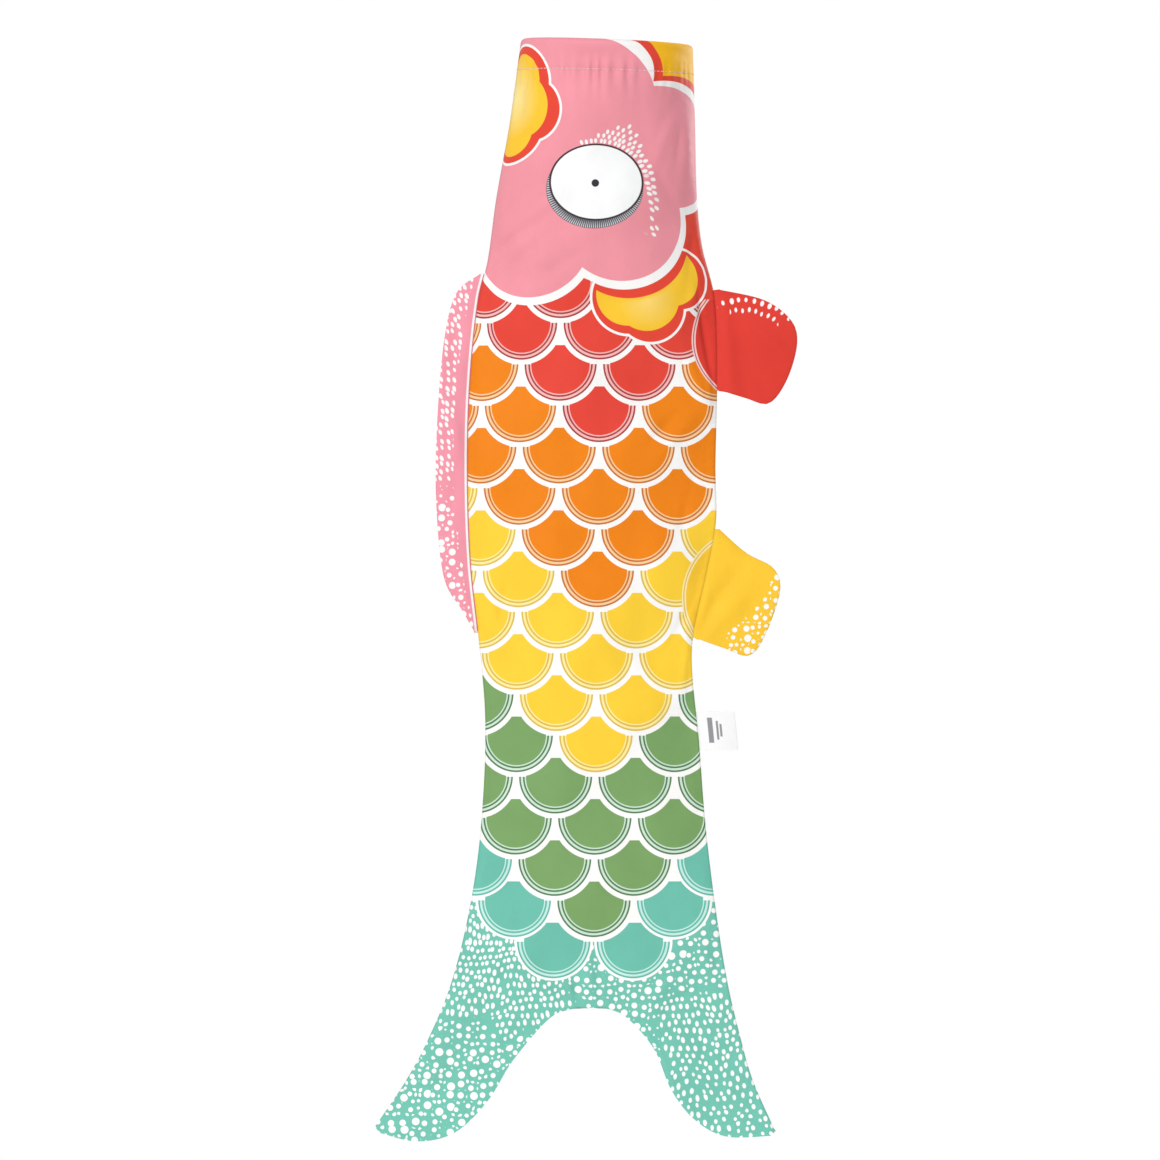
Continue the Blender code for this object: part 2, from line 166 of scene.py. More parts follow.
# The print's colours, as they look under the studio light.
PINK = (242, 154, 166)
WHITE = (253, 252, 250)
RED = (233, 78, 62)
YELLOW = (253, 203, 60)
# the painted highlight on the flowers' yellow cores
HIGHLIGHT_YELLOW = (255, 240, 170)
# a darker copy of the flowers' yellow: painted shade on the second flower, at the head's belly side
SHADED_YELLOW = (255, 194, 42)
TEAL = (118, 196, 178)
FIN_RED = (226, 68, 58)
FIN_PINK = (244, 155, 172)
PINK_DARK = (222, 120, 140)
RED_PALE = (252, 214, 208)
RED_DARK = (176, 62, 75)
YELLOW_PALE = (255, 238, 176)
YELLOW_DARK = (226, 178, 70)
OUTLINE = (72, 58, 62)
EYE_WHITE = (253, 254, 254)
PUPIL = (62, 62, 66)
SHADE_DARK = (74, 76, 82)
SHADE_LIGHT = (214, 216, 220)
GREY = (150, 152, 156)
RIBBON = (250, 250, 250)
THREAD_LIGHT = (255, 232, 232)
# painted shade in the grooves of the thread's twist
THREAD_GROOVE_SHADE = (240, 196, 200)
HOOP_WHITE = (232, 232, 226)
SLEEVE_WHITE = (236, 240, 244)
REVERSE = (250, 240, 236)  # what the back of the cloth is mixed with
SCALE_FILLS = ((232, 76, 64), (242, 136, 26), (254, 210, 64), (126, 166, 105), (112, 192, 173))
SCALE_DARKS = ((170, 66, 70), (203, 118, 58), (224, 188, 84), (90, 126, 90), (104, 184, 168))
SCALE_LIGHTS = ((250, 190, 186), (253, 208, 158), (255, 238, 162), (208, 233, 212), (198, 237, 229))
EXPOSURE = 0.66  # the share of a colour that a surface reflects for it to look right under the lights
GLARE = 0.012  # what the cloth's surface reflects whatever its colour
HARD = 0.01  # the blur of a step that is meant to be sharp
# Mottled clouds in the cloth's colour: partly random tone, partly painted soft shade for its gentle wrinkles.
TONE_AND_SHADE_CLOUDS = 0.14  # how much the tone wanders over the cloth
STREAKS = 0.05  # and from thread to thread
# painted shade, with a little wear, that darkens the cloth within about 1.5 mm of its seams and fin roots
SEAM_SHADE = 0.12
BUMP = 0.35
RELIEF = 0.00006  # height of the weave, in metres

# The scales: half the pitch of a column, the pitch of a row, and the height of row 0's centres.
COLUMN = 25.33
ROW = 26.22
FIRST_ROW = -179.1
LAST_ROW = 15
LAST_RANK = 17  # a scale's rank is its row plus its column's distance from the middle
FIRST_CHANGE = 2.5  # the rank after which the first colour ends
COLOUR_RANKS = 4  # and how many ranks each later one lasts
FILL_RADIUS = 18.9
CAP_HEIGHT = 12.1  # where the flat top of a scale's fill lies
RING_EDGES = (19.7, 20.8, 22.2, 23.3)  # light, dark, light and dark rings end at these radii
WHITE_RADIUS = 26.4
LAST_WHITE_RADIUS = 24.9  # past this rank:
NARROW_RANK = 15.5


# ---------------------------------------------------------------- curves


def mix(start, end, share):
    return start + (end - start) * share


def smooth(share):
    share = np.clip(share, 0, 1)
    return share * share * (3 - 2 * share)


def read_curve(points, at):
    """The second value of a smooth curve through these points, whose first values only fall."""
    place, value = np.array(points, float)[::-1].T
    order = np.arange(len(place))
    before = np.maximum(order - 1, 0)
    after = np.minimum(order + 1, len(place) - 1)
    slope = (value[after] - value[before]) / (place[after] - place[before])
    index = np.clip(np.searchsorted(place, at) - 1, 0, len(place) - 2)
    run = place[index + 1] - place[index]
    share = (at - place[index]) / run
    lift = share * share * (3 - 2 * share)
    leave = share * (1 - share) ** 2 * run * slope[index]
    arrive = share * share * (share - 1) * run * slope[index + 1]
    return mix(value[index], value[index + 1], lift) + leave + arrive


def evenly(path, count):
    """This many points at equal distances along a path of straight runs."""
    runs = np.concatenate([[0], np.hypot(*np.diff(path, axis=0).T).cumsum()])
    wanted = np.linspace(0, runs[-1], count)
    return np.column_stack([np.interp(wanted, runs, path[:, 0]), np.interp(wanted, runs, path[:, 1])])


def outline(points, count):
    """Points evenly spaced along a smooth curve through an outline's corners."""
    corners = np.array(points, float)
    padded = np.vstack([corners[:1], corners, corners[-1:]])
    share = np.linspace(0, 1, CURVE_STEPS, endpoint=False)[:, None]
    runs = []
    for p0, p1, p2, p3 in zip(padded, padded[1:], padded[2:], padded[3:]):
        square = 2 * p0 - 5 * p1 + 4 * p2 - p3
        cubic = 3 * p1 - p0 - 3 * p2 + p3
        runs.append(p1 + 0.5 * share * (p2 - p0 + share * (square + share * cubic)))
    return evenly(np.vstack([*runs, corners[-1:]]), count)


def seam_path(seam, top, bottom, count):
    heights = np.linspace(top, bottom, CURVE_STEPS * 4)
    return evenly(np.column_stack([read_curve(seam, heights), heights]), count)


def heights_between(top, bottom, pitch):
    return np.linspace(top, bottom, round((top - bottom) / pitch) + 1)


def fullness(height):
    """1 where the body is an oval tube and 2 where its flanks meet at a sharp edge."""
    return 1 + smooth((-height - 60) / 170)


def lip(distance):
    """How far a sewn edge stands out, by the distance from its seam."""
    share = np.clip(distance / LIP_WIDTH, 0, 1)
    return LIP * np.sqrt(1 - (1 - share) ** 2)


# ---------------------------------------------------------------- the shape of the cloth


class Sheet:
    """A grid of cloth: points, outward normals, place on the flat cloth, and distance from the sewn edges."""

    def __init__(self, points, across, edge):
        self.points = points
        self.across = across
        self.edge = edge
        self.height = points[..., 2].copy()
        self.normals = None

    def rows(self, first, last):
        """The part between two rows, both included."""
        kept = slice(first, last + 1)
        part = Sheet(self.points[kept], self.across[kept], self.edge[kept])
        part.height = self.height[kept]
        part.normals = self.normals[kept]
        return part


def grid_normals(points, outward, wrap=False):
    """Unit normals of a grid of points, on the side that outward points to at its middle."""
    if wrap:
        padded = np.concatenate([points[:, -1:], points, points[:, :1]], axis=1)
        along = np.gradient(padded, axis=1)[:, 1:-1]
    else:
        along = np.gradient(points, axis=1)
    normals = np.cross(along, np.gradient(points, axis=0))
    normals /= np.maximum(np.linalg.norm(normals, axis=2, keepdims=True), 1e-9)
    middle = normals[normals.shape[0] // 2, normals.shape[1] // 2]
    return normals * math.copysign(1, middle @ np.array(outward))


def half_flank(seam, inner, side):
    """Points from a seam to a flank's middle or a lobe's open edge, both given as across and height."""
    seam_side = seam[:, None, :]
    inner_side = inner[:, None, :]
    share = 1 - np.cos(np.linspace(0, math.pi / 2, HALF_COLUMNS + 1))[None, :, None]
    place = mix(seam_side, inner_side, share)
    share = share[..., 0]
    span = np.linalg.norm(inner - seam, axis=1)[:, None]
    height = seam[:, 1:2]
    tip = smooth((FORK - height) / TIP_RUN)
    depth = mix(read_curve(HALF_DEPTH, np.maximum(height, FORK)), TIP_DEPTH, tip)
    bulge = np.sqrt(1 - (1 - share) ** 2) ** fullness(height)
    distance = share * span
    y = side * mix(SEAM_HALF + lip(distance), depth, bulge)
    return np.stack([place[..., 0], y, place[..., 1]], axis=2), distance


def flank_sheet(side):
    """One flank from the rim's turn to the fork. Each row runs from the back seam to the belly seam."""
    levels = (-HEM_ROLL, -HEM_HEIGHT, HEAD_CUT, TRUNK_CUT, REAR_CUT, FORK)
    pitches = (HEM_PITCH, *[ROW_PITCH] * 4)
    spans = [heights_between(*span) for span in zip(levels, levels[1:], pitches)]
    heights = np.unique(np.concatenate(spans))[::-1]
    sheet = flank_between(heights, side)
    sheet.normals = grid_normals(sheet.points, (0, side, 0))
    crease(sheet, side)
    tilt(sheet.points)
    sheet.height = sheet.points[..., 2].copy()
    sheet.normals = grid_normals(sheet.points, (0, side, 0))
    return sheet, heights


def flank_between(heights, side):
    back = np.column_stack([read_curve(BACK_SEAM, heights), heights])
    belly = np.column_stack([read_curve(BELLY_SEAM, heights), heights])
    split = smooth((REAR_CUT - heights) / (REAR_CUT - FORK))
    middle = (back + belly) / 2
    middle[:, 0] = mix(middle[:, 0], FORK_X, split)
    back_points, back_edge = half_flank(back, middle, side)
    belly_points, belly_edge = half_flank(belly, middle, side)
    points = np.concatenate([back_points, belly_points[:, -2::-1]], axis=1)
    edge = np.concatenate([back_edge, belly_edge[:, -2::-1]], axis=1)
    return Sheet(points, flat_across(points, middle[:, 0], HALF_COLUMNS), edge)


def flat_across(points, middle, column):
    """How far across the flat cloth each point lies: its distance along the row from the flank's middle."""
    steps = np.hypot(*np.moveaxis(np.diff(points[..., :2], axis=1), 2, 0))
    runs = np.concatenate([np.zeros((len(points), 1)), steps.cumsum(axis=1)], axis=1)
    return middle[:, None] + runs - runs[:, column : column + 1]


def lobe_sheet(seam, edge_outline, side):
    """One flank of a tail lobe, from the fork to its tip. It is so shallow that it lies flat as it is."""
    outer = seam_path(seam, FORK, seam[-1][0], LOBE_ROWS + 1)
    free = outline(edge_outline, LOBE_ROWS + 1)
    points, edge = half_flank(outer, free, side)
    return Sheet(points, points[..., 0].copy(), edge)


def ridge(across, height, x, z, turn, length, width, lift):
    """One soft fold, centred at x, z and turned from the vertical by this many degrees."""
    angle = math.radians(turn)
    along = (height - z) * math.cos(angle) + (across - x) * math.sin(angle)
    beside = (across - x) * math.cos(angle) - (height - z) * math.sin(angle)
    return lift * np.exp(-((along / length) ** 2) - (beside / width) ** 2)


# Soft folds in the side panels: across, height, turn in degrees, length, width, and how far they stand out.
BODY_FOLDS = (
    (-58, -26, 32, 12, 2.2, -1.0), (-52, -34, 28, 14, 2.6, 0.8), (-64, -126, 53, 15, 2.6, -1.5),
    (-58, -132, 53, 18, 4.0, 1.1), (-48, -112, 48, 22, 4.0, 0.9), (-30, -142, 62, 26, 5.0, -0.8),
    (46, -44, 30, 14, 5.0, -1.1), (49, -66, 8, 16, 4.0, -1.2), (40, -58, 24, 24, 4.0, 0.8),
    (38, -92, -34, 20, 5.0, -0.9), (20, -140, 60, 40, 10.0, 0.8), (58, -132, 14, 22, 3.5, -0.9),
    (54, -168, 24, 16, 4.0, 0.8), (65, -190, -9, 26, 2.2, -2.2), (57, -214, -20, 22, 3.5, 0.9),
    (-78, -300, 4, 40, 3.5, -0.9), (-72, -366, -20, 24, 4.0, 1.0), (-66, -352, 12, 26, 3.0, -0.8),
    (36, -246, 42, 16, 3.5, -0.9), (44, -252, 42, 16, 3.5, 0.8), (50, -300, 14, 20, 3.0, -0.8),
    (48, -370, 30, 16, 3.0, -0.9), (52, -392, 12, 26, 3.5, 0.8), (-30, -250, 10, 60, 14.0, 0.7),
    (18, -330, -12, 70, 14.0, -0.7), (-20, -430, 8, 60, 12.0, 0.7), (30, -480, -8, 60, 12.0, 0.7),
    (-52, -505, 12, 46, 9.0, -0.7), (-31, -604, -37, 10, 2.4, -2.0), (-25, -600, -28, 10, 2.6, 1.2),
    (-19.5, -602, -3, 11, 2.3, -2.0), (-12, -600, 0, 11, 2.8, 1.2), (-5, -597, -9, 16, 2.3, -1.8),
    (3, -605, -20, 10, 2.4, -1.5), (43, -612, 51, 14, 2.8, -1.8), (34, -604, 42, 12, 3.5, 1.2),
    (73, -597, -14, 15, 3.0, -1.4), (60, -576, -20, 26, 5.0, 0.9), (-70, -600, 30, 20, 4.0, -1.0),
    (-96, -650, 34, 26, 6.0, -1.1), (-74, -640, 40, 20, 5.0, 0.9), (62, -640, -24, 24, 5.0, -1.1),
    (78, -668, -30, 22, 5.0, 0.9),
)
GATHER_PITCH = 8.2
PUCKER_PITCH = 7.3
PUCKER_HEIGHT = 0.34
LOOSENESS = (1.1, 0.6)  # how much of drift() the tail's cloth takes, and how much more the body's does


def folds(across, height, table):
    return sum(ridge(across, height, *row) for row in table)


def gathers(across, height):
    """The small tucks that the hem's stitching draws up, strongest at the middle of each flank."""
    wander = 1.4 * np.sin(across * 0.11 + 0.7) + 0.9 * np.sin(across * 0.29 + 2.1)
    tucks = np.sin(2 * math.pi * across / GATHER_PITCH + wander)
    strength = 0.2 + 0.85 * np.exp(-(((across + 6) / 30) ** 2))
    reach = np.where(height > -HEM_HEIGHT, 6.0, 9.5)
    fade = np.exp(-(np.abs(height + HEM_HEIGHT) / reach) ** 1.4)
    groove = -0.35 * np.exp(-(((height + HEM_HEIGHT) / 1.3) ** 2))
    return tucks * strength * fade + groove


def drift(across, height, seed):
    """Slow waves in the cloth, about 1 mm to either side."""
    a = np.sin(across / 12 + height / 25 + seed)
    b = np.sin(across / 15 - height / 13 + 2.3 * seed + 1)
    c = np.sin(height / 8 + across / 21 + 0.7 * seed + 2)
    d = np.sin(across / 4.3 + height / 9 + 1.7 * np.sin(height / 31) + seed)
    return 0.45 * a + 0.4 * b + 0.22 * c + 0.1 * d * b


def puckers(edge, height):
    """Short tucks beside a sewn seam."""
    beat = np.sin(2 * math.pi * height / PUCKER_PITCH + 1.1 * np.sin(height / 23))
    return PUCKER_HEIGHT * beat * np.exp(-(edge / 5) ** 2)


def crease(sheet, side, open_edge=None):
    """Adds every fold of the cloth, each fading out at the seams and kept clear of the other flank."""
    across, height, edge = sheet.across, sheet.height, sheet.edge
    tail_share, more = LOOSENESS
    loose = tail_share + more * smooth((height + 600) / 80)
    push = folds(across, height, BODY_FOLDS) + loose * drift(across, height, side) + puckers(edge, height)
    push = push * smooth(edge / 6) + gathers(across, height) * smooth(edge / 4)
    push = push * smooth((-HEM_ROLL - height) / 9)
    room = np.maximum(np.abs(sheet.points[..., 1]) * 0.8 - WALL, 0.1)
    push = np.where(push < 0, room * np.tanh(push / room), push)
    if open_edge is not None:
        width, rise = OPEN_HEM
        push = push + smooth((width - open_edge) / 0.8) * rise
    sheet.points = sheet.points + sheet.normals * push[..., None]


def tilt(points):
    """Drops the rim towards the belly, less and less further down the head."""
    x, z = points[..., 0], points[..., 2]
    points[..., 2] = z - MOUTH_SLOPE * x * np.clip(1 + z / SLOPE_FADE, 0, 1)


# ---------------------------------------------------------------- meshes


def new_object(name, mesh):
    obj = bpy.data.objects.new(name, mesh)
    bpy.context.scene.collection.objects.link(obj)
    return obj


def new_mesh(name, points, faces, flat, materials):
    """A smooth mesh of drawn points, which carries where each of them lies on the flat cloth."""
    mesh = bpy.data.meshes.new(name)
    mesh.from_pydata((points * SCALE).tolist(), [], faces)
    attribute = mesh.attributes.new("flat", "FLOAT_VECTOR", "POINT")
    attribute.data.foreach_set("vector", np.asarray(flat, np.float32).ravel())
    for material in materials:
        mesh.materials.append(material)
    mesh.polygons.foreach_set("use_smooth", np.ones(len(faces), bool))
    return mesh


def grid_quads(index):
    corners = [index[:-1, :-1], index[1:, :-1], index[1:, 1:], index[:-1, 1:]]
    return np.stack(corners, axis=2).reshape(-1, 4)


def rim_quads(index, wrap):
    """The faces that close the edges of a sheet between its outer and inner points."""
    total = index.max() + 1
    runs = [index[0], index[-1, ::-1]]
    if not wrap:
        runs += [index[::-1, 0], index[:, -1]]
    return np.concatenate([
        np.stack([run[:-1], run[1:], run[1:] + total, run[:-1] + total], axis=1) for run in runs
    ])


def cloth_piece(name, sheet, materials, wall=WALL, wrap=False, side=0):
    """A closed thin sheet from a grid: its print outside, its pale reverse inside, and cut edges between."""
    rows, columns = sheet.points.shape[:2]
    total = rows * columns
    inside = sheet.points - sheet.normals * wall
    if side:
        inside[..., 1] = side * np.maximum(side * inside[..., 1], SEAM_HALF / 2)
    index = np.arange(total).reshape(rows, columns)
    if wrap:
        index = np.concatenate([index, index[:, :1]], axis=1)
    outer = grid_quads(index)
    inner = outer[:, ::-1] + total
    rim = rim_quads(index, wrap)
    quads = np.concatenate([outer, inner, rim])
    points = np.concatenate([sheet.points.reshape(-1, 3), inside.reshape(-1, 3)])
    normals = sheet.normals.reshape(-1, 3)
    middle = outer[len(outer) // 2 + columns // 2]
    a, b, c, _ = points[middle]
    if np.cross(b - a, c - a) @ normals[middle[0]] < 0:
        quads = quads[:, ::-1]
    flat = np.stack([sheet.across, sheet.edge, sheet.height], axis=2).reshape(-1, 3)
    mesh = new_mesh(name, points, quads.tolist(), np.concatenate([flat, flat]), materials)
    slots = np.zeros(len(quads), np.int32)
    slots[len(outer) : len(outer) * 2] = len(materials) - 1
    mesh.polygons.foreach_set("material_index", slots)
    shading = np.concatenate([normals, -normals])[quads]
    shading[len(outer) * 2 :] = 0
    mesh.normals_split_custom_set(shading.reshape(-1, 3).tolist())
    mesh.update()
    return new_object(name, mesh)


def flat_size(sheet):
    """(width, length) and area of the flat cloth that a sheet was cut from, in metres."""
    x = sheet.across * ACROSS
    z = sheet.height * DOWN
    a = np.stack([x[:-1, :-1], z[:-1, :-1]])
    b = np.stack([x[1:, :-1], z[1:, :-1]])
    c = np.stack([x[1:, 1:], z[1:, 1:]])
    d = np.stack([x[:-1, 1:], z[:-1, 1:]])
    first, second = c - a, d - b
    area = np.abs(first[0] * second[1] - first[1] * second[0]).sum() / 2
    return (float(np.ptp(x)), float(np.ptp(z))), float(area)


def declare(sheet, nodes, flat=None):
    area = None
    if flat is None:
        flat, area = flat_size(sheet)
    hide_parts(*nodes)


# ---------------------------------------------------------------- painting the cloth


def linear(channel):
    share = channel / 255
    return share / 12.92 if share <= 0.04045 else ((share + 0.055) / 1.055) ** 2.4


def rgba(colour):
    """A colour given as it looks in the studio, as what the surface reflects."""
    return (*(max(linear(channel) - GLARE, 0.004) * EXPOSURE for channel in colour), 1)


class Field:
    """A number that varies over the cloth: an output of a shader node. Arithmetic on it adds Math nodes."""

    def __init__(self, tree, socket):
        self.tree = tree
        self.socket = socket

    def math(self, operation, *others):
        node = add_node(self.tree, "Math", dict(enumerate((self, *others))), operation=operation)
        return Field(self.tree, node.outputs[0])

    def __add__(self, other):
        return self.math("ADD", other)

    def __sub__(self, other):
        return self.math("SUBTRACT", other)

    def __mul__(self, other):
        return self.math("MULTIPLY", other)

    def __truediv__(self, other):
        return self.math("DIVIDE", other)

    def __neg__(self):
        return self * -1

    def __abs__(self):
        return self.math("ABSOLUTE")

    __radd__ = __add__
    __rmul__ = __mul__

    def over(self, edge, blur=0.3):
        """1 where this is more than edge and 0 where it's less, with a soft step between."""
        return ((self - edge) / blur + 0.5).clamped()

    def under(self, edge, blur=0.3):
        return ((self - edge) / -blur + 0.5).clamped()

    def clamped(self):
        found = self + 0
        found.socket.node.use_clamp = True
        return found

    def least(self, other):
        return self.math("MINIMUM", other)

    def most(self, other):
        return self.math("MAXIMUM", other)

    def floor(self):
        return self.math("FLOOR")

    def sine(self):
        return self.math("SINE")

    def without(self):
        """The opposite share."""
        return self * -1 + 1


def plug(tree, value, slot):
    """Puts a constant in an input, or links the input to a field or to a node's output."""
    if isinstance(value, Field):
        value = value.socket
    if isinstance(value, bpy.types.NodeSocket):
        tree.links.new(value, slot)
    else:
        slot.default_value = value


def add_node(tree, kind, inputs=None, **settings):
    """A new shader node with these settings, and with something plugged into each of these inputs."""
    node = tree.nodes.new("ShaderNode" + kind)
    for name, value in settings.items():
        setattr(node, name, value)
    for name, value in (inputs or {}).items():
        plug(tree, value, node.inputs[name])
    return node


def bump(tree, height, strength, depth):
    """The shading of a relief, whose depth is in metres."""
    return add_node(tree, "Bump", {"Height": height, "Strength": strength, "Distance": depth}).outputs[0]


def new_material(name):
    """A new material, its node tree and its shader."""
    material = bpy.data.materials.new(name)
    material.use_nodes = True
    tree = material.node_tree
    return material, tree, tree.nodes["Principled BSDF"]


def distance(x, z):
    return (x * x + z * z).math("SQRT")


# The places of the colour sockets on a Mix node.
MIX_SHARE, MIX_UNDER, MIX_OVER = 0, 6, 7
MIX_RESULT = 2


class Painter:
    """Paints a cloth material layer over layer, in drawn millimetres on the flat cloth."""

    def __init__(self, name):
        self.material, self.tree, self.shader = new_material(name)
        self.flat = add_node(self.tree, "Attribute", attribute_name="flat").outputs["Vector"]
        parts = add_node(self.tree, "SeparateXYZ", {0: self.flat})
        self.x, self.edge, self.z = (Field(self.tree, socket) for socket in parts.outputs)
        self.colour = None

    def coat(self, colour, share=1.0):
        """Paints this colour, or this colour socket, over what is there."""
        if isinstance(colour, tuple):
            colour = rgba(colour)
        layers = {MIX_SHARE: share, MIX_UNDER: self.colour or colour, MIX_OVER: colour}
        self.colour = add_node(self.tree, "Mix", layers, data_type="RGBA").outputs[MIX_RESULT]

    def to(self, x, z):
        """The distance from a point."""
        return distance(self.x - x, self.z - z)

    def blob(self, circles):
        """How far outside a group of overlapping circles each point lies, less than 0 within them."""
        found = None
        for x, z, radius in circles:
            outside = self.to(x, z) - radius
            found = outside if found is None else found.least(outside)
        return found

    def noise(self, scale, detail=2.0, stretch=(1, 1, 1)):
        place = add_node(self.tree, "Mapping", {"Vector": self.flat, "Scale": stretch}).outputs[0]
        node = add_node(self.tree, "TexNoise", {"Vector": place, "Scale": scale, "Detail": detail})
        return Field(self.tree, node.outputs["Fac"])

    def random_pair(self, node):
        """The red and the green of a node's random colour."""
        parts = add_node(self.tree, "SeparateColor", {0: node.outputs["Color"]})
        return Field(self.tree, parts.outputs[0]), Field(self.tree, parts.outputs[1])

    def cells(self, across, along, randomness):
        """Distance to the nearest of a field of scattered points, and a random number for each."""
        place = add_node(self.tree, "CombineXYZ", {0: across, 1: along}).outputs[0]
        spread = {"Vector": place, "Scale": 1.0, "Randomness": randomness}
        node = add_node(self.tree, "TexVoronoi", spread, voronoi_dimensions="2D")
        return Field(self.tree, node.outputs["Distance"]), self.random_pair(node)[0]

    def chances(self, first, second):
        """Two random numbers for each pair of whole numbers."""
        place = add_node(self.tree, "CombineXYZ", {0: first, 1: second}).outputs[0]
        node = add_node(self.tree, "TexWhiteNoise", {"Vector": place}, noise_dimensions="2D")
        return self.random_pair(node)

    def dots(self, pitch, fade=0):
        """Scattered big dots with smaller ones between them, which shrink away where fade grows."""
        big, chance = self.cells(self.x / pitch, self.z / pitch, 0.6)
        gap = big * pitch - (chance * chance * 1.1 + pitch * 0.2)
        close = pitch * 0.56
        small, luck = self.cells(self.x / close + 9, self.z / close, 0.5)
        crowded = ((gap - 2.4) / -1.4).clamped()
        between = small * close - (luck * 0.5 + close * 0.24) + crowded * 1.6
        return (gap + fade).under(0).most((between + fade).under(0))

    def seed_rows(self, rows, places, row_pitch, pitch, size, longer=(1, 0.68), jitter=0.3):
        """How far outside the nearest seed each point lies, for seeds laid along curved rows."""
        row = rows.math("ROUND")
        place = places + row * 0.5
        spot = place.math("ROUND")
        chance, luck = self.chances(row, spot)
        aside = (rows - row + (chance - 0.5) * jitter) * row_pitch * longer[0]
        along = (place - spot + (luck - 0.5) * jitter) * pitch * longer[1]
        return distance(aside, along) - (luck * 0.4 + size - 0.3)

    def finish(self, reverse=False, roughness=0.62, weave=0.55):
        """Wires the print into the shader, with the weave, fine slubs and a soft sheen."""
        if reverse:
            self.coat(REVERSE, 0.5)
        # mottled tone: partly random, partly painted soft shade
        tone_and_shade = (self.noise(0.045, 3.0) - 0.5) * TONE_AND_SHADE_CLOUDS
        streaks = (self.noise(1.1, 2.0, (1, 1, 0.25)) - 0.5) * STREAKS
        # painted shade, with a little wear, along the seams and fin roots
        tone = tone_and_shade + streaks + 1 - self.edge.under(0.9, 1.2) * SEAM_SHADE
        toned = add_node(self.tree, "HueSaturation", {"Value": tone, "Color": self.colour}).outputs[0]
        warp = (self.x * (2 * math.pi / weave)).sine()
        weft = (self.z * (2 * math.pi / weave)).sine()
        slubs = self.noise(0.9, 3.0, (0.3, 1, 1))
        surface = {
            "Base Color": toned,
            "Normal": bump(self.tree, warp * weft * 0.5 + slubs * 0.9, BUMP, RELIEF),
            "Roughness": (self.noise(0.25, 2.0) - 0.5) * 0.12 + roughness,
            "Specular IOR Level": 0.12,
            "Sheen Weight": 0.05,
            "Sheen Roughness": 0.45,
        }
        for name, value in surface.items():
            plug(self.tree, value, self.shader.inputs[name])
        return self.material


def ranked(painter, rank, palette):
    """The palette's colour for a scale's rank: its row plus its column's distance from the middle."""
    keep = painter.colour
    painter.colour = None
    painter.coat(palette[0])
    for step, colour in enumerate(palette[1:]):
        painter.coat(colour, rank.over(FIRST_CHANGE + COLOUR_RANKS * step, HARD))
    found = painter.colour
    painter.colour = keep
    return found


def scale_at(painter, row):
    """For the scale of this row that is nearest: distances across and up from its centre, and its rank."""
    across = (painter.x - middle_line(painter.z)) / COLUMN
    odd = row.math("FLOORED_MODULO", 2.0)
    column = ((across - odd) / 2).math("ROUND") * 2 + odd
    return (across - column) * COLUMN, painter.z - (row * -ROW + FIRST_ROW), row + abs(column)


def middle_line(z):
    """Where the middle column of scales runs, which leans a little."""
    return (z + 206) * 0.01094 - 4.58


def paint_scales(painter):
    """Rows of overlapping scales, red under the head and teal by the tail, each with two pale rings."""
    row = ((painter.z - FIRST_ROW) / -ROW).floor()
    across, up, rank = scale_at(painter, row + 1)
    there = (row + 1).under(LAST_ROW + 0.5, HARD) * rank.under(LAST_RANK + 0.5, HARD)
    painter.coat(WHITE, there * abs(across).under(LAST_WHITE_RADIUS))
    cap = abs(across).under(FILL_RADIUS) * up.under(CAP_HEIGHT)
    painter.coat(ranked(painter, rank, SCALE_FILLS), there * cap)
    across, up, rank = scale_at(painter, row)
    there = row.under(LAST_ROW + 0.5, HARD) * rank.under(LAST_RANK + 0.5, HARD)
    radius = distance(across, up)
    reach = rank.over(NARROW_RANK, HARD) * (LAST_WHITE_RADIUS - WHITE_RADIUS) + WHITE_RADIUS
    painter.coat(WHITE, there * (radius - reach).under(0))
    lights = ranked(painter, rank, SCALE_LIGHTS)
    darks = ranked(painter, rank, SCALE_DARKS)
    for edge, shade in zip(RING_EDGES[::-1], (darks, lights, darks, lights)):
        painter.coat(shade, there * radius.under(edge))
    painter.coat(ranked(painter, rank, SCALE_FILLS), there * radius.under(FILL_RADIUS))


# The tail's seeds lie on rings round a point above each lobe: its places across, and its height.
SEED_CENTRES = (-66, 30)
SEED_TOP = -430
SEED_ROW = 4.9
SEED_SPOKES = 44  # seeds on one radian of a ring


def paint_tail(painter):
    """The teal tail, strewn with pale dots and with seeds in flowing rows."""
    x, z = painter.x, painter.z
    painter.coat(TEAL)
    wander = (painter.noise(0.03, 1.0) - 0.5) * 50
    upper = x.under(-12, 6) * (z + wander).over(-628, 6) * (x + z * 0.35 + wander * 0.6).under(-232, 6)
    lower = (x + wander).over(34, 6) * (z + wander * 0.4).under(-604, 6)
    seeded = upper.most(lower)
    aside = x - x.over(0, 1) * (SEED_CENTRES[1] - SEED_CENTRES[0]) - SEED_CENTRES[0]
    drop = z - SEED_TOP
    flow = distance(aside, drop) + wander * 0.25
    spokes = drop.math("ARCTAN2", aside) * SEED_SPOKES
    seeds = painter.seed_rows(flow / SEED_ROW, spokes, SEED_ROW, flow / SEED_SPOKES, 1.22, (0.7, 1), 0.5)
    dots = painter.dots(7.4, seeded * 3.6)
    painter.coat(WHITE, dots.most((seeds + seeded.without() * 2.4).under(0)))


FLOWER_EDGE = 1.6  # width of a flower's white outline
# The flowers on the head: across, height and radius of the circles that make each outline.
FIRST_FLOWER = ((-62, -27.5, 25.5), (-49.7, -44.1, 21), (-69, -50.7, 28.7))
FIRST_CORE = ((-62.7, -25.6, 17.1), (-59.3, -41.5, 20.2), (-68.6, -55.9, 17.8))
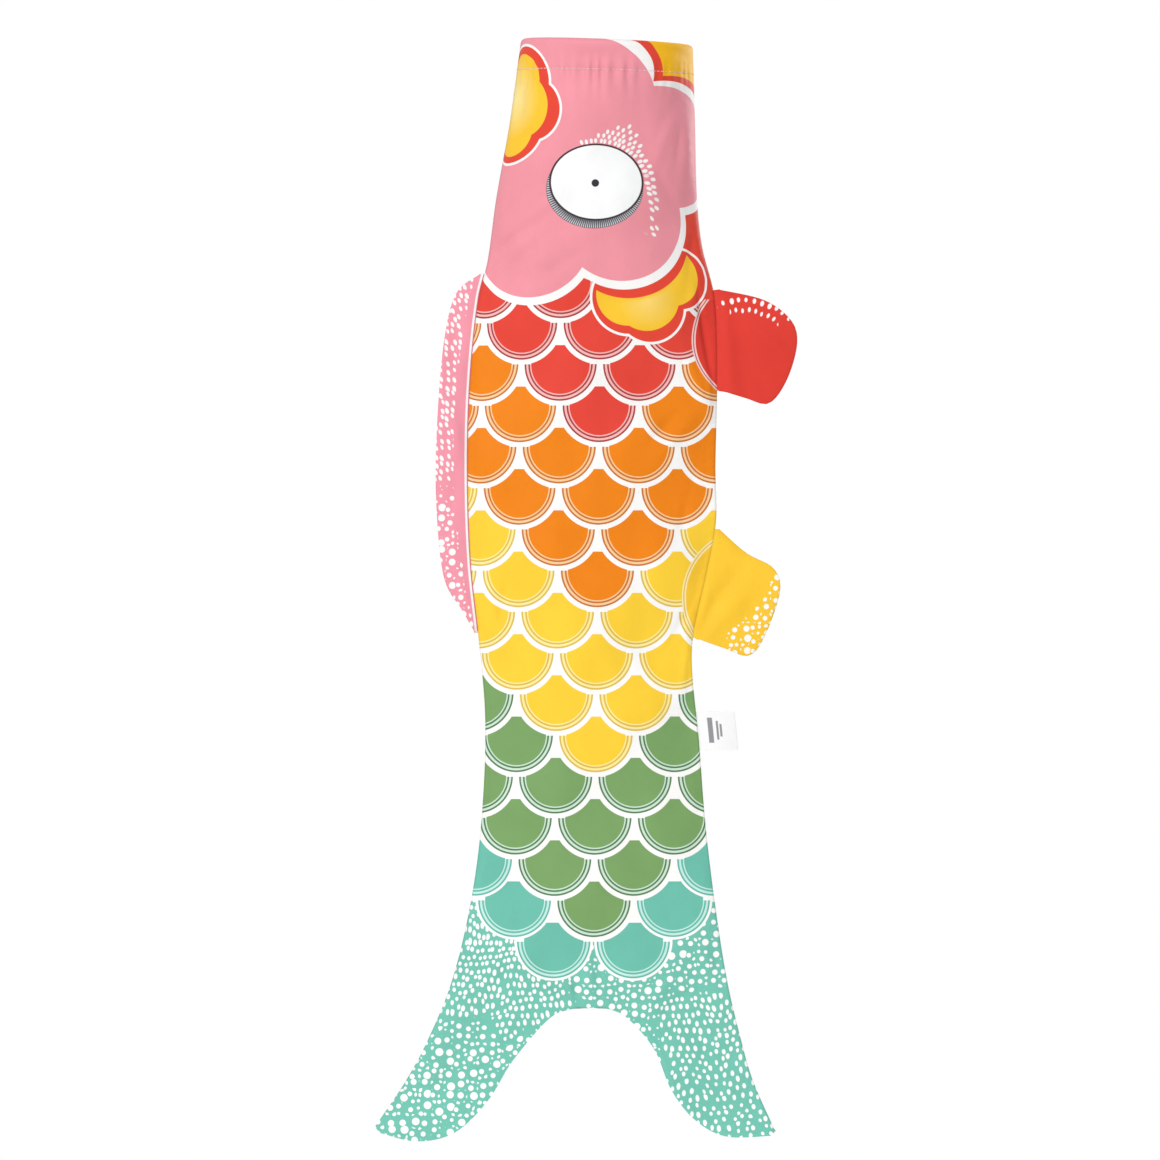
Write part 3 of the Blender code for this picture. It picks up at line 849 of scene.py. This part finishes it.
# Round the second, the pink ground stands in bumps. The white, red and yellow begin further and further out.
SECOND_BUMPS = (
    (WHITE, ((-15.4, -45.8, 48.7), (34.3, -93.2, 63.7))),
    (RED, ((6.1, -22.0, 24.1), (38.9, -98.7, 72.5))),
    # the second flower's yellow is painted shade, a darker copy of the flowers' yellow
    (SHADED_YELLOW, ((4.7, -23.3, 31.8), (43.7, -105.2, 82.3))),
)
THIRD_FLOWER = ((47.2, -151.7, 20.4), (27.9, -169.8, 23.0), (14.0, -162.7, 25.0))
THIRD_CORE = ((42.1, -150.2, 18.3), (25.4, -163.3, 20.9), (13.2, -160.8, 20.1))
THIRD_TOP = ((13.5, -120.7, 42.9),)
HEAD_FOOT = -100
HEAD_BUMPS = ((-50.3, -122.2, 40.8), (9.4, -111.8, 40.9), (48, -70, 36.2))
HEAD_BAND = ((-49.6, -124.4, 43.6), (10.7, -114.4, 43.7), (49.5, -73, 38))
PECTORAL_ARC = ((94.1, -189.8, 39.1),)
VENTRAL_ARC = ((91.3, -353.4, 43.2),)
FOOT_EDGES = (0, -1.0, -1.6, -2.7)  # where the outline's ring, dark line, ring and fill begin


def paint_flower(painter, outline_circles, core_circles, highlight, strength, trim=None):
    petals = painter.blob(outline_circles)
    painter.coat(WHITE, petals.under(0))
    painter.coat(RED, petals.under(-FLOWER_EDGE))
    core = painter.blob(core_circles)
    if trim is not None:
        core = core.most(-painter.blob(trim))
    painter.coat(YELLOW, core.under(0))
    # A painted highlight: a pale patch on the yellow core, fading out towards the core's edge.
    x, z, radius = highlight
    painted_highlight = (painter.to(x, z) / radius).under(0.6, 1.2) * core.under(-1.5, 3)
    painter.coat(HIGHLIGHT_YELLOW, painted_highlight * strength)


def paint_second_flower(painter):
    share = painter.x.over(-16) * painter.z.over(-60)
    for colour, bumps in SECOND_BUMPS:
        share = share * painter.blob(bumps).over(0)
        painter.coat(colour, share)


# The eye: its centre and radii, and the pitch of the seeds round it, by rings and by angle.
EYE_X, EYE_Z = -7, -90.4
EYE_RADII = (30.5, 24.2)
EYE_RING = 0.135
EYE_SPOKE = 0.112
EYE_SIZE = 26  # what turns those two into millimetres


def paint_eye(painter):
    """A plain oval eye, a ribbed shadow below, and short seeds that fan out above it and trail off below."""
    x = painter.x - EYE_X
    z = painter.z - EYE_Z
    round_eye = distance(x / EYE_RADII[0], z / EYE_RADII[1])
    angle = z.math("ARCTAN2", x)
    below = (angle / -0.8 + 0.15).clamped()
    rings = (round_eye - 1.0 - below * below * 0.62) / EYE_RING
    ring = rings.floor()
    spokes = angle / EYE_SPOKE + ring * 0.5
    spoke = spokes.math("ROUND")
    at = (spoke - ring * 0.5) * EYE_SPOKE
    chance, luck = painter.chances(ring, spoke)
    beside = (spokes - spoke + (chance - 0.5) * 0.35) * EYE_SPOKE * round_eye * EYE_SIZE
    along = (rings - ring - 0.5 + (luck - 0.5) * 0.3) * EYE_RING * EYE_SIZE
    seed = distance(beside, along * 0.6).under(0.98)
    count = (abs(at - 0.98) * -5.4 + 4.7).most(at.under(0.6) + 1.1)
    fan = at.over(-0.78, HARD) * at.under(1.95, HARD)
    kept = (ring + 0.5 - count).under(0, HARD) * ring.over(-0.5, HARD) * (chance + luck).over(0.3, HARD)
    painter.coat(WHITE, seed * kept * fan)
    shadow = distance((painter.x + 8.2) / 31.2, (painter.z + 94.6) / 24.9)
    ribs = (angle * 138).sine().over(0, 1.0)
    painter.coat(SHADE_DARK, shadow.under(1.0, 0.02))
    painter.coat(SHADE_LIGHT, shadow.under(0.99, 0.02) * ribs * shadow.over(0.87, 0.18))
    painter.coat(OUTLINE, round_eye.under(1.0, 0.015))
    painter.coat(EYE_WHITE, round_eye.under(0.955, 0.015))
    painter.coat(PUPIL, painter.to(-7.5, -91).under(2.4))


def paint_head(painter):
    """Red shoulders, the third flower, and over them the pink head with its white scalloped edge."""
    painter.coat(RED, painter.z.over(-136, 1).most(painter.x.over(52) * painter.z.over(-164)))
    paint_flower(painter, THIRD_FLOWER, THIRD_CORE, (26, -164, 16), 0.4, THIRD_TOP)
    band = painter.blob(HEAD_BAND).least(-painter.z + HEAD_FOOT - 3)
    painter.coat(WHITE, band.under(0))
    pink = painter.blob(HEAD_BUMPS).least(-painter.z + HEAD_FOOT)
    painter.coat(PINK, pink.under(0))
    paint_flower(painter, FIRST_FLOWER, FIRST_CORE, (-72, -36, 22), 0.9)
    paint_second_flower(painter)
    paint_eye(painter)


def paint_fin_foot(painter, circle, fill, ring, dark):
    """The printed outline of a fin's foot on the body."""
    outside = painter.blob(circle)
    for colour, edge in zip((ring, dark, ring, fill), FOOT_EDGES):
        painter.coat(colour, outside.under(edge))


def body_material(name, reverse=False, head=False, ventral=False, tail=False):
    painter = Painter(name)
    if tail:
        paint_tail(painter)
    else:
        painter.coat(WHITE)
    paint_scales(painter)
    if head:
        paint_fin_foot(painter, PECTORAL_ARC, FIN_RED, RED_PALE, RED_DARK)
        paint_head(painter)
    if ventral:
        paint_fin_foot(painter, VENTRAL_ARC, YELLOW, YELLOW_PALE, YELLOW_DARK)
    return painter.finish(reverse)


def pectoral_material(name, reverse=False):
    """Red, with two rows of seeds along its top edge."""
    painter = Painter(name)
    painter.coat(FIN_RED)
    rings = (painter.to(87, -205) - 34.3) / 6.4
    turn = (painter.z + 205).math("ARCTAN2", painter.x - 87)
    seeds = painter.seed_rows(rings, turn / 0.122, 6.4, 4.7, 1.15, (0.62, 1), 0.2)
    ring = rings.math("ROUND")
    ends = (painter.x + ring * 8).under(78).most((painter.x - ring * 7).over(109))
    painter.coat(WHITE, (seeds + abs(ring - 0.5).over(1, 0.1).most(ends) * 3).under(0))
    return painter.finish(reverse)


def ventral_material(name, reverse=False):
    """Yellow, with pale dots scattered by its outer corner."""
    painter = Painter(name)
    painter.coat(YELLOW)
    bare = painter.to(60, -330).under(45.5, 3).most(painter.x.under(75, 3))
    painter.coat(WHITE, painter.dots(6.6, bare * 3))
    return painter.finish(reverse)


def dorsal_material(name, reverse=False):
    """Pink, with seeds then dots along its outer edge, and a white line beside the seam."""
    painter = Painter(name)
    painter.coat(FIN_PINK)
    bow = (painter.z + 262) / 31
    inner = (painter.x - bow * bow).over(-97, 2)
    low = painter.z.under(-286, 14)
    slant = painter.z / 4.9 + painter.x * 0.12
    seeds = painter.seed_rows(painter.x / 3.9, slant, 3.9, 4.9, 1.25, (1, 0.75), 0.55)
    dots = painter.dots(6.8, (low.without() + inner) * 3.4)
    painter.coat(WHITE, (seeds + (low + inner) * 3).under(0).most(dots))
    painter.coat(WHITE, painter.edge.under(2.5))
    painter.coat(PINK_DARK, painter.edge.under(1.1))
    return painter.finish(reverse)


# The bars on the label: distance from the seam, half width, top and bottom.
LABEL_BARS = ((8.0, 1.6, -430, -446), (12.4, 0.7, -432, -444), (14.6, 0.7, -434, -442))


def label_material(name):
    """A white satin ribbon with a few plain grey bars in place of any wording."""
    painter = Painter(name)
    painter.coat(RIBBON)
    for x, width, top, bottom in LABEL_BARS:
        bar = abs(painter.edge - x).under(width) * painter.z.under(top) * painter.z.over(bottom)
        painter.coat(GREY, bar)
    return painter.finish(roughness=0.42, weave=0.4)


def thread_material(name):
    """Two-ply sewing thread: a pale strand whose twist shows as slanting bands of painted shade."""
    painter = Painter(name)
    painter.coat(THREAD_LIGHT)
    # painted shade in the twist's grooves
    twist = (painter.x * 4.6 + painter.z * 4.6).sine().over(0, 1.6)
    painter.coat(THREAD_GROOVE_SHADE, twist * 0.6)
    return painter.finish(roughness=0.55, weave=0.25)


def plastic_material(name, colour, roughness, strength):
    """Drawn plastic rod or tube, with faint marks along it."""
    material, tree, shader = new_material(name)
    place = add_node(tree, "TexCoord").outputs["Object"]
    noise = add_node(tree, "TexNoise", {"Vector": place, "Scale": 900, "Detail": 3}).outputs["Fac"]
    ramp = add_node(tree, "ValToRGB", {"Fac": noise})
    ramp.color_ramp.elements[0].color = rgba(tuple(channel * 0.9 for channel in colour))
    ramp.color_ramp.elements[1].color = rgba(colour)
    plug(tree, ramp.outputs["Color"], shader.inputs["Base Color"])
    plug(tree, bump(tree, noise, strength, 0.00005), shader.inputs["Normal"])
    shader.inputs["Roughness"].default_value = roughness
    return material


# ---------------------------------------------------------------- the pieces


def bend(obj):
    """Bakes a piece of the body's placement into its mesh."""
    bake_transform(obj)


def flap(obj, joint_name, outward):
    """Bakes a fin's or the label's placement into its mesh."""
    joint = JOINTS[joint_name]
    place = Vector(joint["pos_m"])
    axis = Vector(joint["axis"]).normalized()
    away = Vector((axis.z, 0, -axis.x)) * outward
    before, after = (reach * ACROSS for reach in FIN_SPREAD)
    place - away * before
    place + away * after
    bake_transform(obj)


def body_panels(sheet, heights, side, flank, materials):
    """The five pieces of one flank, cut from one surface so that folds and print run on between them."""
    cuts = [int(np.argmin(abs(heights - cut))) for cut in (-HEM_HEIGHT, HEAD_CUT, TRUNK_CUT, REAR_CUT)]
    made = (
        ("head_panel", "neck_sway", "head_cloth", "head"),
        ("trunk_panel", "waist_sway", "trunk_cloth", "trunk"),
        ("rear_panel", "tail_sway", "rear_cloth", "rear"),
    )
    for (name, joint, slot, node), first, last in zip(made, cuts, cuts[1:]):
        part = sheet.rows(first, last)
        obj = cloth_piece(f"{name}_{flank}", part, materials[slot], side=side)
        declare(part, [f"{node}_{flank}"])
        bend(obj)
    root = sheet.rows(cuts[-1], len(heights) - 1)
    back_half = slice(0, HALF_COLUMNS + 1)
    belly_half = slice(2 * HALF_COLUMNS, HALF_COLUMNS - 1, -1)
    back_nodes = ("tail_root", "upper_lobe")
    lobes = (
        ("upper_tail", "upper_lobe_sway", BACK_SEAM, UPPER_LOBE_EDGE, back_half, back_nodes),
        ("lower_tail", "lower_lobe_sway", BELLY_SEAM, LOWER_LOBE_EDGE, belly_half, ("lower_lobe",)),
    )
    for name, joint, seam, edge, columns, nodes in lobes:
        part = tail_sheet(root, seam, edge, columns, side)
        obj = cloth_piece(f"{name}_{flank}", part, materials["tail_cloth"], side=side)
        declare(part, [f"{node}_{flank}" for node in nodes])
        bend(obj)


def tail_sheet(root, seam, edge, columns, side):
    """Half of the tail root and the lobe below it, as one sheet."""
    lobe = lobe_sheet(seam, edge, side)
    lobe.normals = grid_normals(lobe.points, (0, side, 0))
    open_edge = np.linalg.norm(lobe.points - lobe.points[:, -1:], axis=2)
    crease(lobe, side, open_edge)
    part = Sheet(
        np.concatenate([root.points[:, columns], lobe.points[1:]]),
        np.concatenate([root.across[:, columns], lobe.across[1:]]),
        np.concatenate([root.edge[:, columns], lobe.edge[1:]]),
    )
    part.normals = grid_normals(part.points, (0, side, 0))
    part.normals[: len(root.points)] = root.normals[:, columns]
    return part


def hem_section():
    """Over the hoop and down inside: inset from the head's outer face, and height."""
    turns = np.linspace(0, math.pi, HEM_TURNS + 1)[1:]
    roll = [(HEM_ROLL * (1 - math.cos(turn)), HEM_ROLL * (math.sin(turn) - 1)) for turn in turns]
    inner = outline(((2 * HEM_ROLL, -HEM_ROLL), *HEM_INSIDE), HEM_INSIDE_ROWS)
    return np.array(roll + inner[1:].tolist())


def round_body(right, left):
    """An array of both flanks, all the way round the body."""
    return np.concatenate([right, left[:, ::-1]], axis=1)


def turned_in(points, heights, path):
    """The rows of cloth that turn over the hoop and run down inside, each inset from the outer wall."""
    rim = points[0]
    tangent = np.roll(rim, -1, axis=0) - np.roll(rim, 1, axis=0)
    outward = np.column_stack([tangent[:, 1], -tangent[:, 0], np.zeros(len(rim))])
    outward /= np.linalg.norm(outward, axis=1, keepdims=True)
    rows = []
    for inset, drop in path:
        row = np.interp(-drop, -heights, np.arange(len(heights)))
        upper = min(int(row), len(heights) - 2)
        base = mix(points[upper], points[upper + 1], row - upper)
        rows.append(base - outward * inset + (0, 0, max(drop + HEM_ROLL, 0)))
    return rows


def hem(flanks, materials):
    """The rim of the mouth: the cloth runs up from the stitching, over the hoop and back down inside."""
    (right, heights), (left, _) = flanks
    points = round_body(right.points, left.points)
    across = round_body(right.across, left.across)
    edge = round_body(right.edge, left.edge)
    height = round_body(right.height, left.height)
    normals = round_body(right.normals, left.normals)
    foot = int(np.argmin(abs(heights + HEM_HEIGHT)))
    wall = slice(foot, None, -1)
    path = hem_section()
    turned = turned_in(points, heights[: foot + 3], path)
    runs = np.hypot(*np.diff(np.vstack([(0, -HEM_ROLL), path]), axis=0).T).cumsum()
    sheet = Sheet(
        np.concatenate([points[wall], turned]),
        np.concatenate([across[wall], np.repeat(across[:1], len(path), axis=0)]),
        np.concatenate([edge[wall], np.repeat(edge[:1], len(path), axis=0)]),
    )
    sheet.height = np.concatenate([height[wall], height[0] + runs[:, None]])
    sheet.normals = hem_normals(sheet.points)
    sheet.normals[:foot] = normals[wall][:-1]
    obj = cloth_piece("hem", sheet, materials["head_cloth"], wrap=True)
    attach(obj, "head")
    thread = stitches(sheet, thread_material("thread"))
    band = (2 * float(np.ptp(across[0])) * ACROSS, float(HEM_HEIGHT - HEM_ROLL + runs[-1]) * DOWN)
    declare(sheet, ["hem_casing"], band)


def hem_normals(points):
    normals = grid_normals(points, (0, 0, 1), wrap=True)
    x, y, _ = points[0, 0] - points[0].mean(axis=0)
    return normals * math.copysign(1, normals[0, 0, 0] * x + normals[0, 0, 1] * y)


def stitches(sheet, material):
    """The row of stitches that holds the hem, each a short thread that dips into the cloth at both ends."""
    loop, outward, across = (
        np.concatenate([values[0], values[0, :1]]) for values in (sheet.points, sheet.normals, sheet.across)
    )
    runs = np.concatenate([[0], np.linalg.norm(np.diff(loop, axis=0), axis=1).cumsum()])
    count = round(runs[-1] / STITCH_PITCH)
    points, flats, quads = [], [], []
    for number in range(count):
        start = (number + 0.5) * runs[-1] / count
        for step in range(STITCH_STEPS):
            share = 2 * step / (STITCH_STEPS - 1) - 1
            at = start + share * STITCH_LENGTH / 2
            centre = np.array([np.interp(at, runs, loop[:, axis]) for axis in range(3)])
            away = np.array([np.interp(at, runs, outward[:, axis]) for axis in range(3)])
            arch = math.sqrt(max(1 - share * share, 0.06))
            centre = centre + away * (THREAD * (0.75 * arch - 0.25))
            for turn in np.arange(STITCH_SIDES) * 2 * math.pi / STITCH_SIDES:
                ring = away * math.cos(turn) + np.array((0, 0, 1)) * math.sin(turn)
                points.append(centre + ring * THREAD * arch)
                flats.append((np.interp(at, runs, across), THREAD * math.cos(turn), THREAD * math.sin(turn)))
        quads += stitch_faces(number)
    obj = new_object("hem_stitches", new_mesh("hem_stitches", np.array(points), quads, flats, [material]))
    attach(obj, "head")
    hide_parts("hem_stitching")
    return obj


def stitch_faces(number):
    base = number * STITCH_SIDES * STITCH_STEPS
    faces = []
    for step in range(STITCH_STEPS - 1):
        for side in range(STITCH_SIDES):
            here = base + step * STITCH_SIDES + side
            beside = base + step * STITCH_SIDES + (side + 1) % STITCH_SIDES
            faces.append((here, beside, beside + STITCH_SIDES, here + STITCH_SIDES))
    last = base + (STITCH_STEPS - 1) * STITCH_SIDES
    faces.append(tuple(range(base + STITCH_SIDES - 1, base - 1, -1)))
    faces.append(tuple(range(last, last + STITCH_SIDES)))
    return faces


# Folds in the fins: across, height, turn in degrees, length, width, and how far they stand out.
DORSAL_FOLDS = (
    (-97, -196, 8, 26, 4, 1.0), (-96, -250, -14, 30, 5, -1.1), (-100, -300, 10, 28, 4, 0.9),
    (-92, -345, -22, 20, 4, -0.8),
)
PECTORAL_FOLDS = (
    (77, -194, -6, 28, 4.0, -1.2), (86, -198, -8, 32, 6.0, 1.0), (105, -192, -50, 16, 4.0, -0.9),
    (96, -212, -24, 18, 5.0, 0.7),
)
VENTRAL_FOLDS = (
    (63, -350, 10, 22, 3.0, -1.0), (70, -356, 34, 28, 4.5, 1.5), (82, -358, 44, 22, 5.0, -0.9),
    (94, -350, 20, 18, 6.0, 0.6),
)


def fin_sheet(seam, root, edge_outline, outward, side, table, waves):
    """One layer of a fin, from its root in the seam to its outer edge. Both layers ripple together."""
    rows = round((root[0] - root[1]) / FIN_ROW_PITCH) + 1
    roots = seam_path(seam, *root, rows)
    roots[:, 0] -= outward * FIN_TUCK
    edges = outline(edge_outline, rows)
    share = (1 - np.cos(np.linspace(0, math.pi, FIN_COLUMNS)))[None, :, None] / 2
    place = mix(roots[:, None, :], edges[:, None, :], share)
    share = share[..., 0]
    reach = np.linalg.norm(place - place[:, :1], axis=2)
    ends = [np.linalg.norm(place - other, axis=2) for other in (place[:, -1:], place[:1], place[-1:])]
    down = np.linspace(0, 1, rows)[:, None]
    puff = 0.9 * np.sin(math.pi * share) * np.sin(math.pi * down)
    gather = puckers(np.minimum(ends[0], np.minimum(ends[1], ends[2])), place[..., 1])
    ripple = waves * share**1.6 * np.sin(2 * math.pi * down * 1.7 + 0.6)
    sway = ripple + folds(place[..., 0], place[..., 1], table) * smooth(reach / 8)
    rise = SEAM_HALF + lip(np.minimum.reduce(ends)) * mix(0.55, 1, smooth(reach / 3)) + puff + gather * 0.5
    points = np.stack([place[..., 0], side * rise + sway, place[..., 1]], axis=2)
    sheet = Sheet(points, place[..., 0], reach)
    sheet.normals = grid_normals(points, (0, side, 0))
    return sheet


def fin(name, seam, root, edge_outline, outward, table, waves, materials):
    """Both layers of a fin, sewn together round the edge and into the seam."""
    slot = f"{name}_cloth"
    for side, flank in ((-1, "right"), (1, "left")):
        sheet = fin_sheet(seam, root, edge_outline, outward, side, table, waves)
        obj = cloth_piece(f"{name}_layer_{flank}", sheet, materials[slot], wall=FIN_WALL)
        declare(sheet, [f"{name}_fin_{flank}"])
        flap(obj, f"{name}_fin_flap", outward)


def label(material):
    """A short ribbon folded in two, with both ends caught in the belly seam."""
    flat_end = LABEL_REACH - LABEL_PLY
    turns = np.linspace(-math.pi / 2, math.pi / 2, 9)
    run = np.linspace(-FIN_TUCK, flat_end, 26)
    spread = np.interp(run, (-FIN_TUCK, 1.5), (0.22, LABEL_PLY))
    out = np.column_stack([run, -spread])
    fold = np.column_stack([flat_end + LABEL_PLY * np.cos(turns), LABEL_PLY * np.sin(turns)])
    section = np.vstack([out, fold[1:-1], out[::-1] * (1, -1)])
    heights = np.linspace(*LABEL_ROOT, LABEL_ROWS)[:, None]
    seam = read_curve(BELLY_SEAM, heights)
    down = np.linspace(-1, 1, LABEL_ROWS)[:, None]
    reach, ply = (column * np.ones_like(heights) for column in section.T)
    share = reach / LABEL_REACH
    curl = 1.5 * share**2 * np.sin(1.3 * down + 0.5) - 0.7 * np.sin(math.pi * share)
    points = np.stack([seam + reach, ply + curl, heights + 0 * reach], axis=2)
    along = np.concatenate([[0], np.hypot(*np.diff(section, axis=0).T).cumsum()])
    sheet = Sheet(points, along[None, :] + 0 * reach, reach)
    sheet.normals = grid_normals(points, (1, 0, 0))
    first_ply = sheet.normals[LABEL_ROWS // 2, len(run) // 2]
    if first_ply[1] > 0:
        sheet.normals = -sheet.normals
    obj = cloth_piece("label_ribbon", sheet, [material], wall=LABEL_WALL)
    declare(sheet, ["label"])
    flap(obj, "label_flap", 1)


# ---------------------------------------------------------------- the studio


CAMERA_DISTANCE = 7.0
VIEW_WIDTH = 0.738224  # what the picture spans at the object
VIEW_CENTRE = (-0.0172, -0.3424)
SENSOR = 36
FLOOR_COLOUR = (0.86, 0.86, 0.85, 1)
FLOOR_RADIUS = 0.75
FLOOR_SIDES = 96
FLOOR_DROP = 0.06  # below the tail
# Each lamp's place, size and power.
LAMPS = {
    "key": ((-1.8, -3.3, 1.3), 0.8, 168),
    "fill": ((2.4, -2.8, 0.1), 1.2, 28),
    "back": ((2.6, 2.4, 0.4), 1.0, 90),
}
# The room's light, from the side behind the camera to the side behind the streamer.
ROOM_LIGHT = {"From Min": -0.4, "From Max": 0.5, "To Min": 0.45, "To Max": 1.0}


def camera():
    """A long lens, level with the middle of the streamer and square to its flank."""
    data = bpy.data.cameras.new("camera")
    data.sensor_width = SENSOR
    data.lens = SENSOR * CAMERA_DISTANCE / VIEW_WIDTH
    data.clip_end = 100
    obj = new_object("camera", data)
    obj.location = (VIEW_CENTRE[0], -CAMERA_DISTANCE, VIEW_CENTRE[1])
    obj.rotation_euler = (math.pi / 2, 0, 0)
    bpy.context.scene.camera = obj


def studio_material():
    material, _, shader = new_material("studio_floor")
    shader.inputs["Base Color"].default_value = FLOOR_COLOUR
    shader.inputs["Roughness"].default_value = 0.9
    return material


def floor():
    """A round pale floor below the tail."""
    turns = np.linspace(0, 2 * math.pi, FLOOR_SIDES, endpoint=False)
    height = cad_bounds[0].z - FLOOR_DROP
    corners = [(FLOOR_RADIUS * math.cos(turn), FLOOR_RADIUS * math.sin(turn), height) for turn in turns]
    mesh = bpy.data.meshes.new("floor")
    mesh.from_pydata(corners, [], [tuple(range(FLOOR_SIDES))])
    mesh.materials.append(studio_material())
    new_object("floor", mesh)


def lamp(name, place, size, power):
    """A soft square lamp that faces the middle of the streamer."""
    data = bpy.data.lights.new(name, "AREA")
    data.size = size
    data.energy = power
    obj = new_object(name, data)
    obj.location = place
    middle = (cad_bounds[0] + cad_bounds[1]) / 2
    obj.rotation_euler = (middle - Vector(place)).to_track_quat("-Z", "Y").to_euler()


def studio():
    """A white room, brightest behind the streamer, with two lamps in front and one behind."""
    scene = bpy.context.scene
    scene.view_settings.view_transform = "Standard"
    world = bpy.data.worlds.new("studio")
    world.use_nodes = True
    tree = world.node_tree
    place = add_node(tree, "TexCoord").outputs["Generated"]
    parts = add_node(tree, "SeparateXYZ", {0: place})
    fade = add_node(tree, "MapRange", {"Value": parts.outputs["Y"], **ROOM_LIGHT})
    background = tree.nodes["Background"]
    background.inputs["Color"].default_value = (1, 1, 1, 1)
    plug(tree, fade.outputs["Result"], background.inputs["Strength"])
    scene.world = world
    for name, (place, size, power) in LAMPS.items():
        lamp(name, place, size, power)
    floor()


def materials():
    """The cloth materials by slot, each with its printed face and its paler reverse."""
    makers = {
        "head_cloth": lambda name, reverse: body_material(name, reverse, head=True),
        "trunk_cloth": lambda name, reverse: body_material(name, reverse, ventral=True),
        "rear_cloth": lambda name, reverse: body_material(name, reverse, tail=True),
        "tail_cloth": lambda name, reverse: body_material(name, reverse, tail=True),
        "dorsal_cloth": dorsal_material,
        "pectoral_cloth": pectoral_material,
        "ventral_cloth": ventral_material,
    }
    return {slot: [make(slot, False), make(f"{slot}_reverse", True)] for slot, make in makers.items()}


def build():
    camera()
    studio()
    cloths = materials()
    flanks = [flank_sheet(side) for side in (-1, 1)]
    hem(flanks, cloths)
    for (sheet, heights), side, flank in zip(flanks, (-1, 1), ("right", "left")):
        body_panels(sheet, heights, side, flank, cloths)
    fin("dorsal", BACK_SEAM, DORSAL_ROOT, DORSAL_EDGE, -1, DORSAL_FOLDS, 1.8, cloths)
    fin("pectoral", BELLY_SEAM, PECTORAL_ROOT, PECTORAL_EDGE, 1, PECTORAL_FOLDS, 1.6, cloths)
    fin("ventral", BELLY_SEAM, VENTRAL_ROOT, VENTRAL_EDGE, 1, VENTRAL_FOLDS, 1.6, cloths)
    label(label_material("label_tape"))
    hoop = plastic_material("hoop_plastic", HOOP_WHITE, 0.38, 0.2)
    sleeve = plastic_material("sleeve_plastic", SLEEVE_WHITE, 0.22, 0.1)
    for node, made in (("mouth_hoop", hoop), ("hoop_sleeve", sleeve)):
        for material_slot in frame["nodes"][node].material_slots:
            material_slot.material = made


build()
